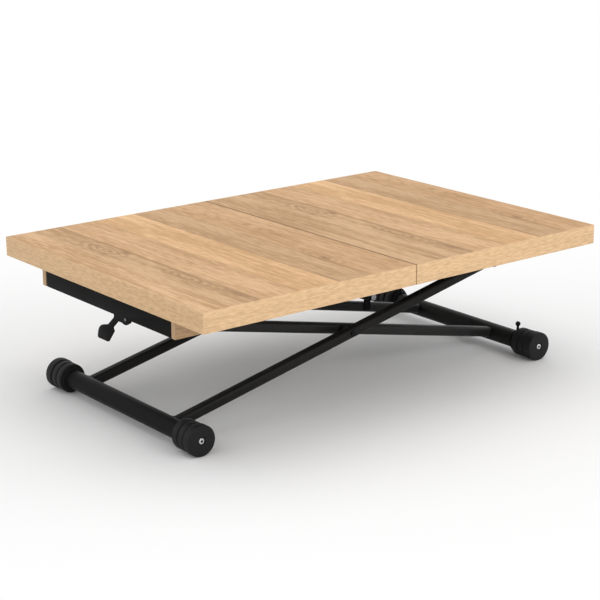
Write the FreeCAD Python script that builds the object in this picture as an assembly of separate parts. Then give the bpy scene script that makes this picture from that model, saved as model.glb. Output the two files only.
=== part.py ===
import FreeCAD, Part
import math
import os

from FreeCAD import Vector

# Convertible coffee and dining table. Two crossed leg frames on wheels lift a top that parts in the
# middle. +X runs along the table, +Y across it and +Z up, from the floor under the middle of the top.
# All sizes are millimetres, and the table stands in its lowered pose.

# Table top: two boards side by side, each wrapped by an edge band
TOP_LENGTH = 1000.0
TOP_WIDTH = 700.0
TOP_THICKNESS = 40.0
TABLE_HEIGHT = 311.0
SEAM_GAP = 0.6
EDGE_BAND = 1.5

# Box under the top: two timber side rails, two steel end plates and steel cross bars
FRAME_END_INSET = 17.5
FRAME_WIDTH = 472.0
RAIL_THICKNESS = 12.0
RAIL_DEPTH = 41.0
SHEET = 3.0
PLATE_TOP_GAP = 0.5
END_TAB_LENGTH = 30.0
BAR_WIDTH = 40.0
BAR_TAB_HEIGHT = 24.0
OUTER_BAR_INSET = 82.5
GUIDE_BAR_INSET = 23.5
INNER_BAR_X = 50.0

# Extension slides: a runner with a wide foot under each board, held down by guides on the bars
SLIDE_TRAVEL = 200.0
RUNNER_STEM = 12.0
RUNNER_FOOT = 24.0
RUNNER_FOOT_DEPTH = 8.0
RUNNER_DEPTH = 22.0
RUNNER_END_GAP = 6.0
RUNNER_RELIEF = 1.0
LEFT_RUNNER_Y = 190.0
RIGHT_RUNNER_Y = 152.0
GUIDE_WIDTH = 36.0
GUIDE_LENGTH = 36.0
GUIDE_LIP = 5.0
SLIDE_CLEARANCE = 0.4

# Wheels and floor tubes
AXLE_X = 444.5
WHEEL_RADIUS = 31.0
WHEEL_WIDTH = 60.0
WHEEL_OUTER_Y = 258.0
WHEEL_COLLAR_RADIUS = 24.0
WHEEL_COLLAR_WIDTH = 3.0
WHEEL_INNER_RIB = 16.5
WHEEL_INNER_RIBS = 2
WHEEL_GROOVE = 2.0
WHEEL_GROOVE_DEPTH = 2.0
WHEEL_CROWN = 1.0
WHEEL_FACE_ROUND = 3.0
WHEEL_RECESS_RADIUS = 7.5
WHEEL_RECESS_DEPTH = 5.0
WHEEL_END_PLAY = 0.5
FLOOR_TUBE_RADIUS = 19.0
TUBE_WALL = 1.5
PLUG_DEPTH = 18.0
PLUG_FLANGE = 1.5
AXLE_BOLT_RADIUS = 4.0
AXLE_HEAD_RADIUS = 6.0
AXLE_HEAD_DEPTH = 4.0
HEX_SOCKET = 5.0
HEX_SOCKET_DEPTH = 3.0

# Brake ring with a ball-tipped stem, on the braked tube beside each wheel
BRAKE_RING_WIDTH = 6.0
BRAKE_RING_WALL = 4.0
BRAKE_RING_GAP = 0.5
BRAKE_STEM_RADIUS = 2.6
BRAKE_BALL_RADIUS = 5.5
BRAKE_BALL_HEIGHT = 36.5

# Crossed legs: rounded square tube
LEG_SIZE = 22.0
LEG_ROUND = 7.0
OUTER_LEG_Y = 152.0
INNER_LEG_Y = 116.0
LEG_OVERRUN = 10.0
LEG_CAP = 2.0
LEG_CAP_PLUG = 6.0
PIVOT_RADIUS = 5.0
PIVOT_HEAD_RADIUS = 9.0
PIVOT_HEAD_DEPTH = 4.5
CROSSING_HEAD_RADIUS = 6.5
CROSSING_HEAD_DEPTH = 3.0
PIVOT_NUT_DEPTH = 4.0
NUT_ACROSS = 16.0
PIVOT_SPACER_RADIUS = 9.0
PIVOT_TAIL = 2.0
TOP_TUBE_RADIUS = 8.0

# Upper joints: fixed pivot brackets at one end, rollers in channels at the other
CHANNEL_HEIGHT = 33.0
CHANNEL_WALL = 2.5
CHANNEL_LIP_GAP = 1.0
CHANNEL_LENGTH = 265.0
ROLLER_WIDTH = 16.0
ROLLER_SIDE_GAP = 2.0
PIVOT_INSET = 4.0
BRACKET_WIDTH = 32.0
BRACKET_FOOT = 22.0
ROLLER_WASHER_RADIUS = 15.0
ROLLER_WASHER = 2.0

# Gas spring between an ear on the far inner leg and a bracket in the box
SPRING_EAR_RISE = 29.0
SPRING_UPPER_X = -110.0
SPRING_UPPER_RISE = 7.0
SPRING_SIDE_GAP = 3.0
CYLINDER_RADIUS = 10.0
CYLINDER_WALL = 2.0
CYLINDER_LENGTH = 318.0
ROD_SHOWN = 57.5947
CYLINDER_CAP = 10.0
ROD_RADIUS = 4.0
PISTON_LENGTH = 14.0
PISTON_GAP = 0.1
PISTON_START = 30.0
EYE_RADIUS = 9.0
EYE_WIDTH = 12.0
EYE_NECK_RADIUS = 4.0
EYE_GAP = 2.0
SPRING_PIN_RADIUS = 4.0
SPRING_PIN_HEAD_RADIUS = 7.0
SPRING_PIN_HEAD_DEPTH = 2.0
EAR_WIDTH = 18.0
EAR_LAP = 5.0
RELEASE_HEAD_LENGTH = 26.0
RELEASE_HEAD_HEIGHT = 20.0
RELEASE_HEAD_WIDTH = 16.0
RELEASE_HEAD_ROUND = 5.0
SPRING_BRACKET_LENGTH = 140.0
SPRING_BRACKET_RISE = 26.0
SPRING_BRACKET_DROP = 6.0

# Release lever on the end plate, and the cable from it to the gas spring
LEVER_PIVOT_Y = -70.0
LEVER_PIVOT_DROP = 1.0
LEVER_EAR_RADIUS = 11.5
LEVER_HUB_RADIUS = 11.5
LEVER_SHEET = 3.5
LEVER_ELBOW = 33.0
LEVER_ARM_END = 47.0
LEVER_NECK_WIDTH = 13.0
LEVER_NECK_LENGTH = 28.0
LEVER_NECK_BACK = 38.0
LEVER_NECK_TURN = 41.0
LEVER_NOTCH = 5.2
LEVER_PADDLE_TOP = 54.0
LEVER_PADDLE_END = 39.0
LEVER_PADDLE_DROP = 27.0
LEVER_PADDLE_SHIFT = 22.0
LEVER_BEND_ROUND = 8.0
LEVER_CORNER_ROUND = 4.0
LEVER_NOTCH_ROUND = 3.0
LEVER_SHOULDER_ROUND = 24.0
LEVER_BOLT_RADIUS = 2.0
LEVER_HEAD_RADIUS = 3.2
LEVER_HEAD_DEPTH = 1.6
LEVER_NUT_RADIUS = 5.0
LEVER_NUT_DEPTH = 4.0
CABLE_RADIUS = 2.5
CABLE_RISE = 21.0
CABLE_INSET = 12.0
CABLE_BEND = 40.0
CABLE_START_Y = 20.0
CABLE_STOP_SIZE = 10.0

# Screws that hold the steel to the rails
SCREW_RADIUS = 2.0
SCREW_HEAD_RADIUS = 4.0
SCREW_HEAD_DEPTH = 2.4
SCREW_DEPTH = 8.0
SCREW_RISE = 14.0

# Fits
RUNNING_CLEARANCE = 0.05
SIDE_CLEARANCE = 0.3
SHORTEST_EDGE = 0.001

# Places worked out from the sizes above
top_underside = TABLE_HEIGHT - TOP_THICKNESS
frame_bottom = top_underside - RAIL_DEPTH
bar_top = frame_bottom + SHEET
frame_end_x = TOP_LENGTH / 2 - FRAME_END_INSET
outer_bar_x = frame_end_x - OUTER_BAR_INSET
runner_outer_x = frame_end_x - SHEET - SLIDE_TRAVEL - RUNNER_END_GAP
guide_bar_x = runner_outer_x - GUIDE_BAR_INSET
upper_pivot_x = outer_bar_x - PIVOT_INSET
channel_end_x = outer_bar_x + BAR_WIDTH / 2
rail_inner_y = FRAME_WIDTH / 2 - RAIL_THICKNESS
axle_z = WHEEL_RADIUS
wheel_inner_y = WHEEL_OUTER_Y - WHEEL_WIDTH
tube_end_y = wheel_inner_y - WHEEL_END_PLAY - PLUG_FLANGE
upper_pivot_z = frame_bottom - CHANNEL_HEIGHT / 2
leg_slope = (upper_pivot_z - axle_z) / (AXLE_X + upper_pivot_x)
leg_angle = math.degrees(math.atan(leg_slope))
crossing_z = axle_z + leg_slope * AXLE_X
leg_length = math.hypot(AXLE_X + upper_pivot_x, upper_pivot_z - axle_z) + LEG_OVERRUN
outer_leg_face = OUTER_LEG_Y - LEG_SIZE / 2
inner_leg_face = INNER_LEG_Y + LEG_SIZE / 2
roller_radius = CHANNEL_HEIGHT / 2 - CHANNEL_WALL - SIDE_CLEARANCE
roller_outer_y = outer_leg_face - ROLLER_SIDE_GAP
roller_inner_y = roller_outer_y - ROLLER_WIDTH
channel_web_y = roller_inner_y - 2 * SIDE_CLEARANCE - PIVOT_TAIL
bracket_y = inner_leg_face + SHEET
spring_plate_y = INNER_LEG_Y - LEG_SIZE / 2 - SHEET
spring_y = spring_plate_y - SPRING_SIDE_GAP - CYLINDER_RADIUS
spring_upper_z = frame_bottom + SPRING_UPPER_RISE
spring_length = EYE_RADIUS + EYE_GAP + CYLINDER_LENGTH + ROD_SHOWN + RELEASE_HEAD_LENGTH / 2
lever_pivot_z = frame_bottom - LEVER_PIVOT_DROP
lever_outer_x = -frame_end_x + SHEET + SIDE_CLEARANCE
cable_z = frame_bottom + CABLE_RISE
SIDES = (("near", -1), ("far", 1))
X_AXIS = Vector(1, 0, 0)
Y_AXIS = Vector(0, 1, 0)
Z_AXIS = Vector(0, 0, 1)


def block(x0, x1, y0, y1, z0, z1):
    """A box between two corners, given in any order."""
    low = Vector(min(x0, x1), min(y0, y1), min(z0, z1))
    return Part.makeBox(abs(x1 - x0), abs(y1 - y0), abs(z1 - z0), low)


def rod_x(radius, x0, x1, y, z):
    """A round bar along X."""
    return Part.makeCylinder(radius, abs(x1 - x0), Vector(min(x0, x1), y, z), X_AXIS)


def rod_y(radius, x, y0, y1, z):
    """A round bar along Y."""
    return Part.makeCylinder(radius, abs(y1 - y0), Vector(x, min(y0, y1), z), Y_AXIS)


def hex_y(across, x, y0, y1, z):
    """A hexagon bar along Y, given by its width across the flats."""
    corner = across / math.sqrt(3)
    points = []
    for step in range(7):
        turn = math.radians(60 * step)
        points.append(Vector(x + corner * math.cos(turn), min(y0, y1), z + corner * math.sin(turn)))
    return Part.Face(Part.makePolygon(points)).extrude(Vector(0, abs(y1 - y0), 0))


def prism_x(outline, x0, x1):
    """A bar along X from its outline of (y, z) points."""
    points = [Vector(min(x0, x1), y, z) for y, z in outline]
    return Part.Face(Part.makePolygon(points + points[:1])).extrude(Vector(abs(x1 - x0), 0, 0))


def rounded_face(corners):
    """A flat face across X from its corners, each given as (y, z, radius of the corner's round)."""
    points = [Vector(0, y, z) for y, z, _ in corners]
    edges = []
    starts = []
    ends = []
    for i, (_, _, radius) in enumerate(corners):
        here = points[i]
        back = (points[i - 1] - here).normalize()
        ahead = (points[(i + 1) % len(points)] - here).normalize()
        half_turn = back.getAngle(ahead) / 2
        setback = radius / math.tan(half_turn)
        middle = here + (back + ahead).normalize() * (radius / math.sin(half_turn) - radius)
        starts.append(here + back * setback)
        ends.append(here + ahead * setback)
        edges.append(Part.Arc(starts[i], middle, ends[i]).toShape())
    for i, end in enumerate(ends):
        following = starts[(i + 1) % len(starts)]
        if end.distanceToPoint(following) > SHORTEST_EDGE:
            edges.append(Part.makeLine(end, following))
    return Part.Face(Part.Wire(Part.__sortEdges__(edges)))


def leg_section(size, corner, length):
    """A rounded square bar along +X from the origin."""
    bar = block(0, length, -size / 2, size / 2, -size / 2, size / 2)
    long_edges = [edge for edge in bar.Edges if abs(edge.tangentAt(0).x) > 0.5]
    return bar.makeFillet(corner, long_edges)


def turned_to_near(shape):
    """The copy of a far-side shape, turned half round to the near side."""
    copy = shape.copy()
    copy.rotate(Vector(0, 0, 0), Z_AXIS, 180)
    return copy


def mirrored(shape):
    """The mirror copy of a far-side shape on the near side."""
    return shape.mirror(Vector(0, 0, 0), Y_AXIS)


def both_sides(shape):
    """A far-side shape and its mirror copy, as one group of solids."""
    return Part.makeCompound([mirrored(shape), shape])


def on_side(shape, sign):
    """A far-side shape, or its mirror copy for the near side."""
    return shape if sign > 0 else mirrored(shape)


def ear_line_z(x):
    """The height of the gas spring's lower pin when it stands over the inner leg at x."""
    return crossing_z - leg_slope * x + SPRING_EAR_RISE


def spring_foot_x():
    """Where the gas spring, as long as it is, meets the line of places over the inner leg."""
    upright = ear_line_z(SPRING_UPPER_X) - spring_upper_z
    square = 1 + leg_slope ** 2
    straight = leg_slope * upright
    reach = math.sqrt(straight ** 2 - square * (upright ** 2 - spring_length ** 2))
    return SPRING_UPPER_X + (straight + reach) / square


spring_lower_x = spring_foot_x()
spring_lower_z = ear_line_z(spring_lower_x)
spring_angle = math.degrees(math.atan2(spring_upper_z - spring_lower_z, spring_lower_x - SPRING_UPPER_X))


# Table top


def board_span(sign):
    """The X limits of the half top on one side of the seam, from the seam outwards."""
    return sign * SEAM_GAP / 2, sign * TOP_LENGTH / 2


def half_board(sign):
    """One half of the top, inside its edge band."""
    seam_x, end_x = board_span(sign)
    side_y = TOP_WIDTH / 2 - EDGE_BAND
    return block(seam_x + sign * EDGE_BAND, end_x - sign * EDGE_BAND, -side_y, side_y,
                 top_underside, TABLE_HEIGHT)


def edge_band(sign):
    """The band glued round the four edges of a half top."""
    seam_x, end_x = board_span(sign)
    whole = block(seam_x, end_x, -TOP_WIDTH / 2, TOP_WIDTH / 2, top_underside, TABLE_HEIGHT)
    return whole.cut(half_board(sign))


def slide_runner(sign, centre_y):
    """A runner under a half top. It reaches under the other half, to stay guided when pulled out."""
    inner_x = -(INNER_BAR_X + GUIDE_LENGTH / 2) + SLIDE_TRAVEL + RUNNER_END_GAP
    stem = RUNNER_STEM / 2
    foot = RUNNER_FOOT / 2
    bottom = top_underside - RUNNER_DEPTH
    foot_top = bottom + RUNNER_FOOT_DEPTH
    outline = [(centre_y - foot, bottom), (centre_y + foot, bottom), (centre_y + foot, foot_top),
               (centre_y + stem, foot_top), (centre_y + stem, top_underside),
               (centre_y - stem, top_underside), (centre_y - stem, foot_top), (centre_y - foot, foot_top)]
    runner = prism_x(outline, sign * runner_outer_x, -sign * inner_x)
    relief = block(sign * SEAM_GAP / 2, -sign * inner_x, centre_y - stem, centre_y + stem,
                   top_underside - RUNNER_RELIEF, top_underside)
    return runner.cut(relief)


def slide_guide(centre_x, centre_y):
    """A guide that stands on a cross bar and closes over the runner's foot."""
    half = GUIDE_WIDTH / 2
    groove = RUNNER_FOOT / 2 + SLIDE_CLEARANCE
    slot = RUNNER_STEM / 2 + SLIDE_CLEARANCE
    floor = top_underside - RUNNER_DEPTH - SLIDE_CLEARANCE
    lip = top_underside - RUNNER_DEPTH + RUNNER_FOOT_DEPTH + SLIDE_CLEARANCE
    rim = lip + GUIDE_LIP
    outline = [(-half, bar_top), (half, bar_top), (half, rim), (slot, rim), (slot, lip), (groove, lip),
               (groove, floor), (-groove, floor), (-groove, lip), (-slot, lip), (-slot, rim), (-half, rim)]
    placed = [(centre_y + y, z) for y, z in outline]
    return prism_x(placed, centre_x - GUIDE_LENGTH / 2, centre_x + GUIDE_LENGTH / 2)


def slide_guides(bars, centre_y):
    """The four guides of one half top."""
    return Part.makeCompound([slide_guide(x, sign * centre_y) for x in bars for _, sign in SIDES])


# Box under the top


def screw_places():
    """X places and heights of the screws through the tabs on the rails."""
    z = frame_bottom + SCREW_RISE
    tab_x = frame_end_x - SHEET - END_TAB_LENGTH / 2
    bars = (outer_bar_x, guide_bar_x, INNER_BAR_X)
    return [(sign * x, z) for x in (tab_x,) + bars for sign in (-1, 1)]


def frame_screws():
    """Screws through the tabs into both rails."""
    tab_face = rail_inner_y - SHEET
    screws = []
    for x, z in screw_places():
        head = rod_y(SCREW_HEAD_RADIUS, x, tab_face - SCREW_HEAD_DEPTH, tab_face, z)
        head = head.makeFillet(SCREW_HEAD_DEPTH / 2, [head.Edges[2]])
        shank = rod_y(SCREW_RADIUS, x, tab_face, rail_inner_y + SCREW_DEPTH, z)
        screws.append(head.fuse(shank))
    return both_sides(Part.makeCompound(screws))


def screw_holes():
    """Drills for the screws, on both sides."""
    drills = [rod_y(SCREW_RADIUS, x, rail_inner_y - SHEET, rail_inner_y + SCREW_DEPTH, z)
              for x, z in screw_places()]
    return both_sides(Part.makeCompound(drills))


def side_rail(sign):
    """A timber rail along one side of the box."""
    rail = block(-frame_end_x, frame_end_x, rail_inner_y, FRAME_WIDTH / 2, frame_bottom, top_underside)
    return on_side(rail, sign).cut(screw_holes())


def end_plate(sign):
    """A steel plate across one end of the box, with a tab folded along each rail."""
    outer_x = sign * frame_end_x
    top = top_underside - PLATE_TOP_GAP
    web_x = outer_x - sign * SHEET
    plate = block(outer_x, web_x, -rail_inner_y, rail_inner_y, frame_bottom, top)
    for _, side in SIDES:
        tab = block(web_x, web_x - sign * END_TAB_LENGTH, side * rail_inner_y, side * (rail_inner_y - SHEET),
                    frame_bottom, top)
        plate = plate.fuse(tab)
    return plate.removeSplitter().cut(screw_holes())


def lever_end_plate():
    """The end plate with a round ear at its lower edge, which carries the release lever's bolt."""
    outer_x = -frame_end_x
    ear = rod_x(LEVER_EAR_RADIUS, outer_x, outer_x + SHEET, LEVER_PIVOT_Y, lever_pivot_z)
    hole = rod_x(LEVER_BOLT_RADIUS, outer_x, outer_x + SHEET, LEVER_PIVOT_Y, lever_pivot_z)
    return end_plate(-1).fuse(ear).removeSplitter().cut(hole)


def cross_bar(centre_x):
    """A flat steel bar across the box with its ends turned up against the rails."""
    y = rail_inner_y
    top = frame_bottom + BAR_TAB_HEIGHT
    outline = [(-y, frame_bottom), (y, frame_bottom), (y, top), (y - SHEET, top), (y - SHEET, bar_top),
               (SHEET - y, bar_top), (SHEET - y, top), (-y, top)]
    bar = prism_x(outline, centre_x - BAR_WIDTH / 2, centre_x + BAR_WIDTH / 2)
    return bar.cut(screw_holes())


def pivot_brackets():
    """The ears under the box for the upper ends of the inner legs."""
    half = BRACKET_WIDTH / 2
    outer_y = bracket_y + SHEET
    ear = block(-upper_pivot_x - half, -upper_pivot_x + half, bracket_y, outer_y, upper_pivot_z, frame_bottom)
    ear = ear.fuse(rod_y(half, -upper_pivot_x, bracket_y, outer_y, upper_pivot_z))
    foot = block(-upper_pivot_x - half, -upper_pivot_x + half, outer_y, bracket_y + BRACKET_FOOT,
                 frame_bottom - SHEET, frame_bottom)
    hole = rod_y(PIVOT_RADIUS, -upper_pivot_x, bracket_y, outer_y, upper_pivot_z)
    return both_sides(ear.fuse(foot).removeSplitter().cut(hole))


def pivot_pins():
    """The bolts that the inner legs' upper ends turn on, held in the pivot brackets."""
    outer_y = bracket_y + SHEET
    tip_y = INNER_LEG_Y - LEG_SIZE / 2 - PIVOT_TAIL
    pin = rod_y(PIVOT_RADIUS, -upper_pivot_x, tip_y, outer_y, upper_pivot_z)
    head = rod_y(PIVOT_HEAD_RADIUS, -upper_pivot_x, outer_y, outer_y + PIVOT_HEAD_DEPTH, upper_pivot_z)
    spacer = rod_y(PIVOT_SPACER_RADIUS, -upper_pivot_x, inner_leg_face + SIDE_CLEARANCE, bracket_y,
                   upper_pivot_z)
    return both_sides(pin.fuse([head, spacer]).removeSplitter())


def roller_channel():
    """A channel under the box, open towards the legs, in which a roller runs, on the far side."""
    web_y = channel_web_y - CHANNEL_WALL
    lip_y = outer_leg_face - CHANNEL_LIP_GAP
    top = frame_bottom
    bottom = frame_bottom - CHANNEL_HEIGHT
    outline = [(web_y, bottom), (lip_y, bottom), (lip_y, bottom + CHANNEL_WALL),
               (channel_web_y, bottom + CHANNEL_WALL), (channel_web_y, top - CHANNEL_WALL),
               (lip_y, top - CHANNEL_WALL), (lip_y, top), (web_y, top)]
    return prism_x(outline, channel_end_x - CHANNEL_LENGTH, channel_end_x)


# Legs and floor tubes


def floor_tube(axle_x):
    """A round tube across the floor end of a leg frame."""
    tube = rod_y(FLOOR_TUBE_RADIUS, axle_x, -tube_end_y, tube_end_y, axle_z)
    return tube.cut(rod_y(FLOOR_TUBE_RADIUS - TUBE_WALL, axle_x, -tube_end_y, tube_end_y, axle_z))


def tube_plugs(axle_x):
    """The flanged plugs in both ends of a floor tube, which hold the axle bolts."""
    flange = rod_y(FLOOR_TUBE_RADIUS, axle_x, tube_end_y, tube_end_y + PLUG_FLANGE, axle_z)
    plug = rod_y(FLOOR_TUBE_RADIUS - TUBE_WALL, axle_x, tube_end_y - PLUG_DEPTH, tube_end_y, axle_z)
    hole = rod_y(AXLE_BOLT_RADIUS, axle_x, tube_end_y - PLUG_DEPTH, tube_end_y + PLUG_FLANGE, axle_z)
    return both_sides(flange.fuse(plug).removeSplitter().cut(hole))


def axle_bolts(axle_x):
    """The bolts through both wheels into the plugs, with a hexagon socket in each head."""
    seat_y = WHEEL_OUTER_Y - WHEEL_RECESS_DEPTH + SIDE_CLEARANCE
    face_y = seat_y + AXLE_HEAD_DEPTH
    shank = rod_y(AXLE_BOLT_RADIUS, axle_x, tube_end_y - PLUG_DEPTH, seat_y, axle_z)
    head = rod_y(AXLE_HEAD_RADIUS, axle_x, seat_y, face_y, axle_z)
    socket = hex_y(HEX_SOCKET, axle_x, face_y - HEX_SOCKET_DEPTH, face_y, axle_z)
    return both_sides(shank.fuse(head).removeSplitter().cut(socket))


def wheel_edges():
    """The half section of a wheel, as edges from the inner face to the outer face and back."""
    bore = AXLE_BOLT_RADIUS + RUNNING_CLEARANCE
    path = []
    here = Vector(bore, wheel_inner_y, 0)

    def line_to(radius, y):
        nonlocal here
        there = Vector(radius, y, 0)
        path.append(Part.makeLine(here, there))
        here = there

    def arc_to(mid_radius, mid_y, radius, y):
        nonlocal here
        there = Vector(radius, y, 0)
        path.append(Part.Arc(here, Vector(mid_radius, mid_y, 0), there).toShape())
        here = there

    line_to(WHEEL_COLLAR_RADIUS, wheel_inner_y)
    line_to(WHEEL_COLLAR_RADIUS, wheel_inner_y + WHEEL_COLLAR_WIDTH)
    rib_y = wheel_inner_y + WHEEL_COLLAR_WIDTH
    for _ in range(WHEEL_INNER_RIBS):
        shoulder = WHEEL_RADIUS - 2 * WHEEL_CROWN
        line_to(shoulder, rib_y)
        arc_to(shoulder + WHEEL_CROWN, rib_y + WHEEL_INNER_RIB / 2, shoulder, rib_y + WHEEL_INNER_RIB)
        line_to(WHEEL_RADIUS - WHEEL_CROWN - WHEEL_GROOVE_DEPTH, rib_y + WHEEL_INNER_RIB)
        rib_y += WHEEL_INNER_RIB + WHEEL_GROOVE
        line_to(WHEEL_RADIUS - WHEEL_CROWN - WHEEL_GROOVE_DEPTH, rib_y)
    round_in = WHEEL_FACE_ROUND * (1 - math.sqrt(0.5))
    line_to(WHEEL_RADIUS - WHEEL_CROWN, rib_y)
    line_to(WHEEL_RADIUS, rib_y + WHEEL_CROWN)
    line_to(WHEEL_RADIUS, WHEEL_OUTER_Y - WHEEL_FACE_ROUND)
    arc_to(WHEEL_RADIUS - round_in, WHEEL_OUTER_Y - round_in, WHEEL_RADIUS - WHEEL_FACE_ROUND, WHEEL_OUTER_Y)
    line_to(WHEEL_RECESS_RADIUS, WHEEL_OUTER_Y)
    line_to(WHEEL_RECESS_RADIUS, WHEEL_OUTER_Y - WHEEL_RECESS_DEPTH)
    line_to(bore, WHEEL_OUTER_Y - WHEEL_RECESS_DEPTH)
    line_to(bore, wheel_inner_y)
    return path


def wheel(axle_x, sign):
    """A ribbed wheel with a rounded outer face and a recess for the bolt head."""
    section = Part.Face(Part.Wire(wheel_edges()))
    solid = section.revolve(Vector(0, 0, 0), Y_AXIS, 360)
    if sign < 0:
        solid = turned_to_near(solid)
    solid.translate(Vector(axle_x, 0, axle_z))
    return solid


def leg_bar(axle_x, sign_x, centre_y):
    """A hollow leg from a floor tube's centre up to its upper pivot."""
    leg = leg_section(LEG_SIZE, LEG_ROUND, leg_length)
    hollow = leg_section(LEG_SIZE - 2 * TUBE_WALL, LEG_ROUND - TUBE_WALL, leg_length)
    leg = leg.cut(hollow)
    return place_leg(leg, axle_x, sign_x, centre_y)


def place_leg(shape, axle_x, sign_x, centre_y):
    """Turns a shape made along +X into a leg's place: it rises from the axle towards sign_x."""
    placed = shape.copy()
    if sign_x < 0:
        placed.rotate(Vector(0, 0, 0), Z_AXIS, 180)
    placed.rotate(Vector(0, 0, 0), Y_AXIS, -sign_x * leg_angle)
    placed.translate(Vector(axle_x, centre_y, axle_z))
    return placed


def outer_leg():
    """A leg from the rolling tube up to a roller, on the far side."""
    leg = leg_bar(-AXLE_X, 1, OUTER_LEG_Y)
    tube = rod_y(FLOOR_TUBE_RADIUS, -AXLE_X, -tube_end_y, tube_end_y, axle_z)
    ends = (OUTER_LEG_Y - LEG_SIZE, OUTER_LEG_Y + LEG_SIZE)
    crossing = rod_y(PIVOT_RADIUS, 0, ends[0], ends[1], crossing_z)
    upper = rod_y(PIVOT_RADIUS, upper_pivot_x, ends[0], ends[1], upper_pivot_z)
    return leg.cut(Part.makeCompound([tube, crossing, upper]))


def inner_leg():
    """A leg from the braked tube up to a pivot bracket, on the far side."""
    leg = leg_bar(AXLE_X, -1, INNER_LEG_Y)
    tube = rod_y(FLOOR_TUBE_RADIUS, AXLE_X, -tube_end_y, tube_end_y, axle_z)
    ends = (INNER_LEG_Y - LEG_SIZE, INNER_LEG_Y + LEG_SIZE)
    bore = PIVOT_RADIUS + RUNNING_CLEARANCE
    crossing = rod_y(bore, 0, ends[0], ends[1], crossing_z)
    upper = rod_y(bore, -upper_pivot_x, ends[0], ends[1], upper_pivot_z)
    return leg.cut(Part.makeCompound([tube, crossing, upper]))


def leg_caps(axle_x, sign_x, centre_y):
    """Plastic caps pushed into the upper ends of a pair of legs."""
    cap = leg_section(LEG_SIZE, LEG_ROUND, LEG_CAP)
    cap.translate(Vector(leg_length, 0, 0))
    plug = leg_section(LEG_SIZE - 2 * TUBE_WALL, LEG_ROUND - TUBE_WALL, LEG_CAP_PLUG)
    plug.translate(Vector(leg_length - LEG_CAP_PLUG, 0, 0))
    whole = cap.fuse(plug)
    pivot = rod_y(PIVOT_RADIUS + SIDE_CLEARANCE, leg_length - LEG_OVERRUN, -LEG_SIZE / 2, LEG_SIZE / 2, 0)
    return both_sides(place_leg(whole.cut(pivot), axle_x, sign_x, centre_y))


def inner_top_tube():
    """The round tube between the upper ends of the inner legs."""
    end_y = INNER_LEG_Y - LEG_SIZE / 2
    tube = rod_y(TOP_TUBE_RADIUS, -upper_pivot_x, -end_y, end_y, upper_pivot_z)
    return tube.cut(rod_y(TOP_TUBE_RADIUS - TUBE_WALL, -upper_pivot_x, -end_y, end_y, upper_pivot_z))


def crossing_bolts():
    """The bolts where the legs cross, fixed in the outer legs, with a nut inside the inner legs."""
    outer_face = OUTER_LEG_Y + LEG_SIZE / 2
    nut_y = INNER_LEG_Y - LEG_SIZE / 2 - SIDE_CLEARANCE
    shank = rod_y(PIVOT_RADIUS, 0, nut_y - PIVOT_NUT_DEPTH, outer_face, crossing_z)
    head = rod_y(CROSSING_HEAD_RADIUS, 0, outer_face, outer_face + CROSSING_HEAD_DEPTH, crossing_z)
    head = head.makeFillet(CROSSING_HEAD_DEPTH / 2, [head.Edges[0]])
    nut = hex_y(NUT_ACROSS, 0, nut_y - PIVOT_NUT_DEPTH, nut_y, crossing_z)
    return both_sides(shank.fuse([head, nut]).removeSplitter())


def crossing_spacers():
    """The round spacers between the crossed legs."""
    ring = rod_y(PIVOT_SPACER_RADIUS, 0, inner_leg_face + SIDE_CLEARANCE, outer_leg_face, crossing_z)
    hole = rod_y(PIVOT_RADIUS, 0, inner_leg_face, outer_leg_face, crossing_z)
    return both_sides(ring.cut(hole))


def roller_bolts():
    """The bolts and washers that carry the rollers at the outer legs' upper ends."""
    outer_face = OUTER_LEG_Y + LEG_SIZE / 2
    washer_y = outer_face + ROLLER_WASHER
    tip_y = roller_inner_y - SIDE_CLEARANCE
    shank = rod_y(PIVOT_RADIUS, upper_pivot_x, tip_y, outer_face, upper_pivot_z)
    washer = rod_y(ROLLER_WASHER_RADIUS, upper_pivot_x, outer_face, washer_y, upper_pivot_z)
    head = rod_y(PIVOT_HEAD_RADIUS, upper_pivot_x, washer_y, washer_y + PIVOT_HEAD_DEPTH, upper_pivot_z)
    return both_sides(shank.fuse([washer, head]).removeSplitter())


def roller(sign):
    """A roller that runs in a channel."""
    solid = rod_y(roller_radius, upper_pivot_x, roller_inner_y, roller_outer_y, upper_pivot_z)
    bore_radius = PIVOT_RADIUS + RUNNING_CLEARANCE
    bore = rod_y(bore_radius, upper_pivot_x, roller_inner_y, roller_outer_y, upper_pivot_z)
    return on_side(solid.cut(bore), sign)


def brake_lever(sign):
    """A ring round the braked tube with a ball-tipped stem, which presses the wheel when turned."""
    outer_y = tube_end_y - BRAKE_RING_GAP
    inner_y = outer_y - BRAKE_RING_WIDTH
    ring = rod_y(FLOOR_TUBE_RADIUS + BRAKE_RING_WALL, AXLE_X, inner_y, outer_y, axle_z)
    foot = Vector(AXLE_X, (inner_y + outer_y) / 2, axle_z + FLOOR_TUBE_RADIUS + BRAKE_RING_WALL / 2)
    tip = Vector(AXLE_X, foot.y, axle_z + BRAKE_BALL_HEIGHT)
    stem = Part.makeCylinder(BRAKE_STEM_RADIUS, (tip - foot).Length, foot, tip - foot)
    ball = Part.makeSphere(BRAKE_BALL_RADIUS, tip)
    whole = ring.fuse([stem, ball])
    bore = rod_y(FLOOR_TUBE_RADIUS + RUNNING_CLEARANCE, AXLE_X, inner_y, outer_y, axle_z)
    return on_side(whole.cut(bore), sign)


# Gas spring


def place_spring(shape):
    """Turns a shape made along +X from the lower pin into the gas spring's place."""
    placed = shape.copy()
    placed.rotate(Vector(0, 0, 0), Z_AXIS, 180)
    placed.rotate(Vector(0, 0, 0), Y_AXIS, spring_angle)
    placed.translate(Vector(spring_lower_x, spring_y, spring_lower_z))
    return placed


def cylinder_span():
    """Where the pressure tube starts and ends along the gas spring."""
    start = EYE_RADIUS + EYE_GAP
    return start, start + CYLINDER_LENGTH


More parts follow.
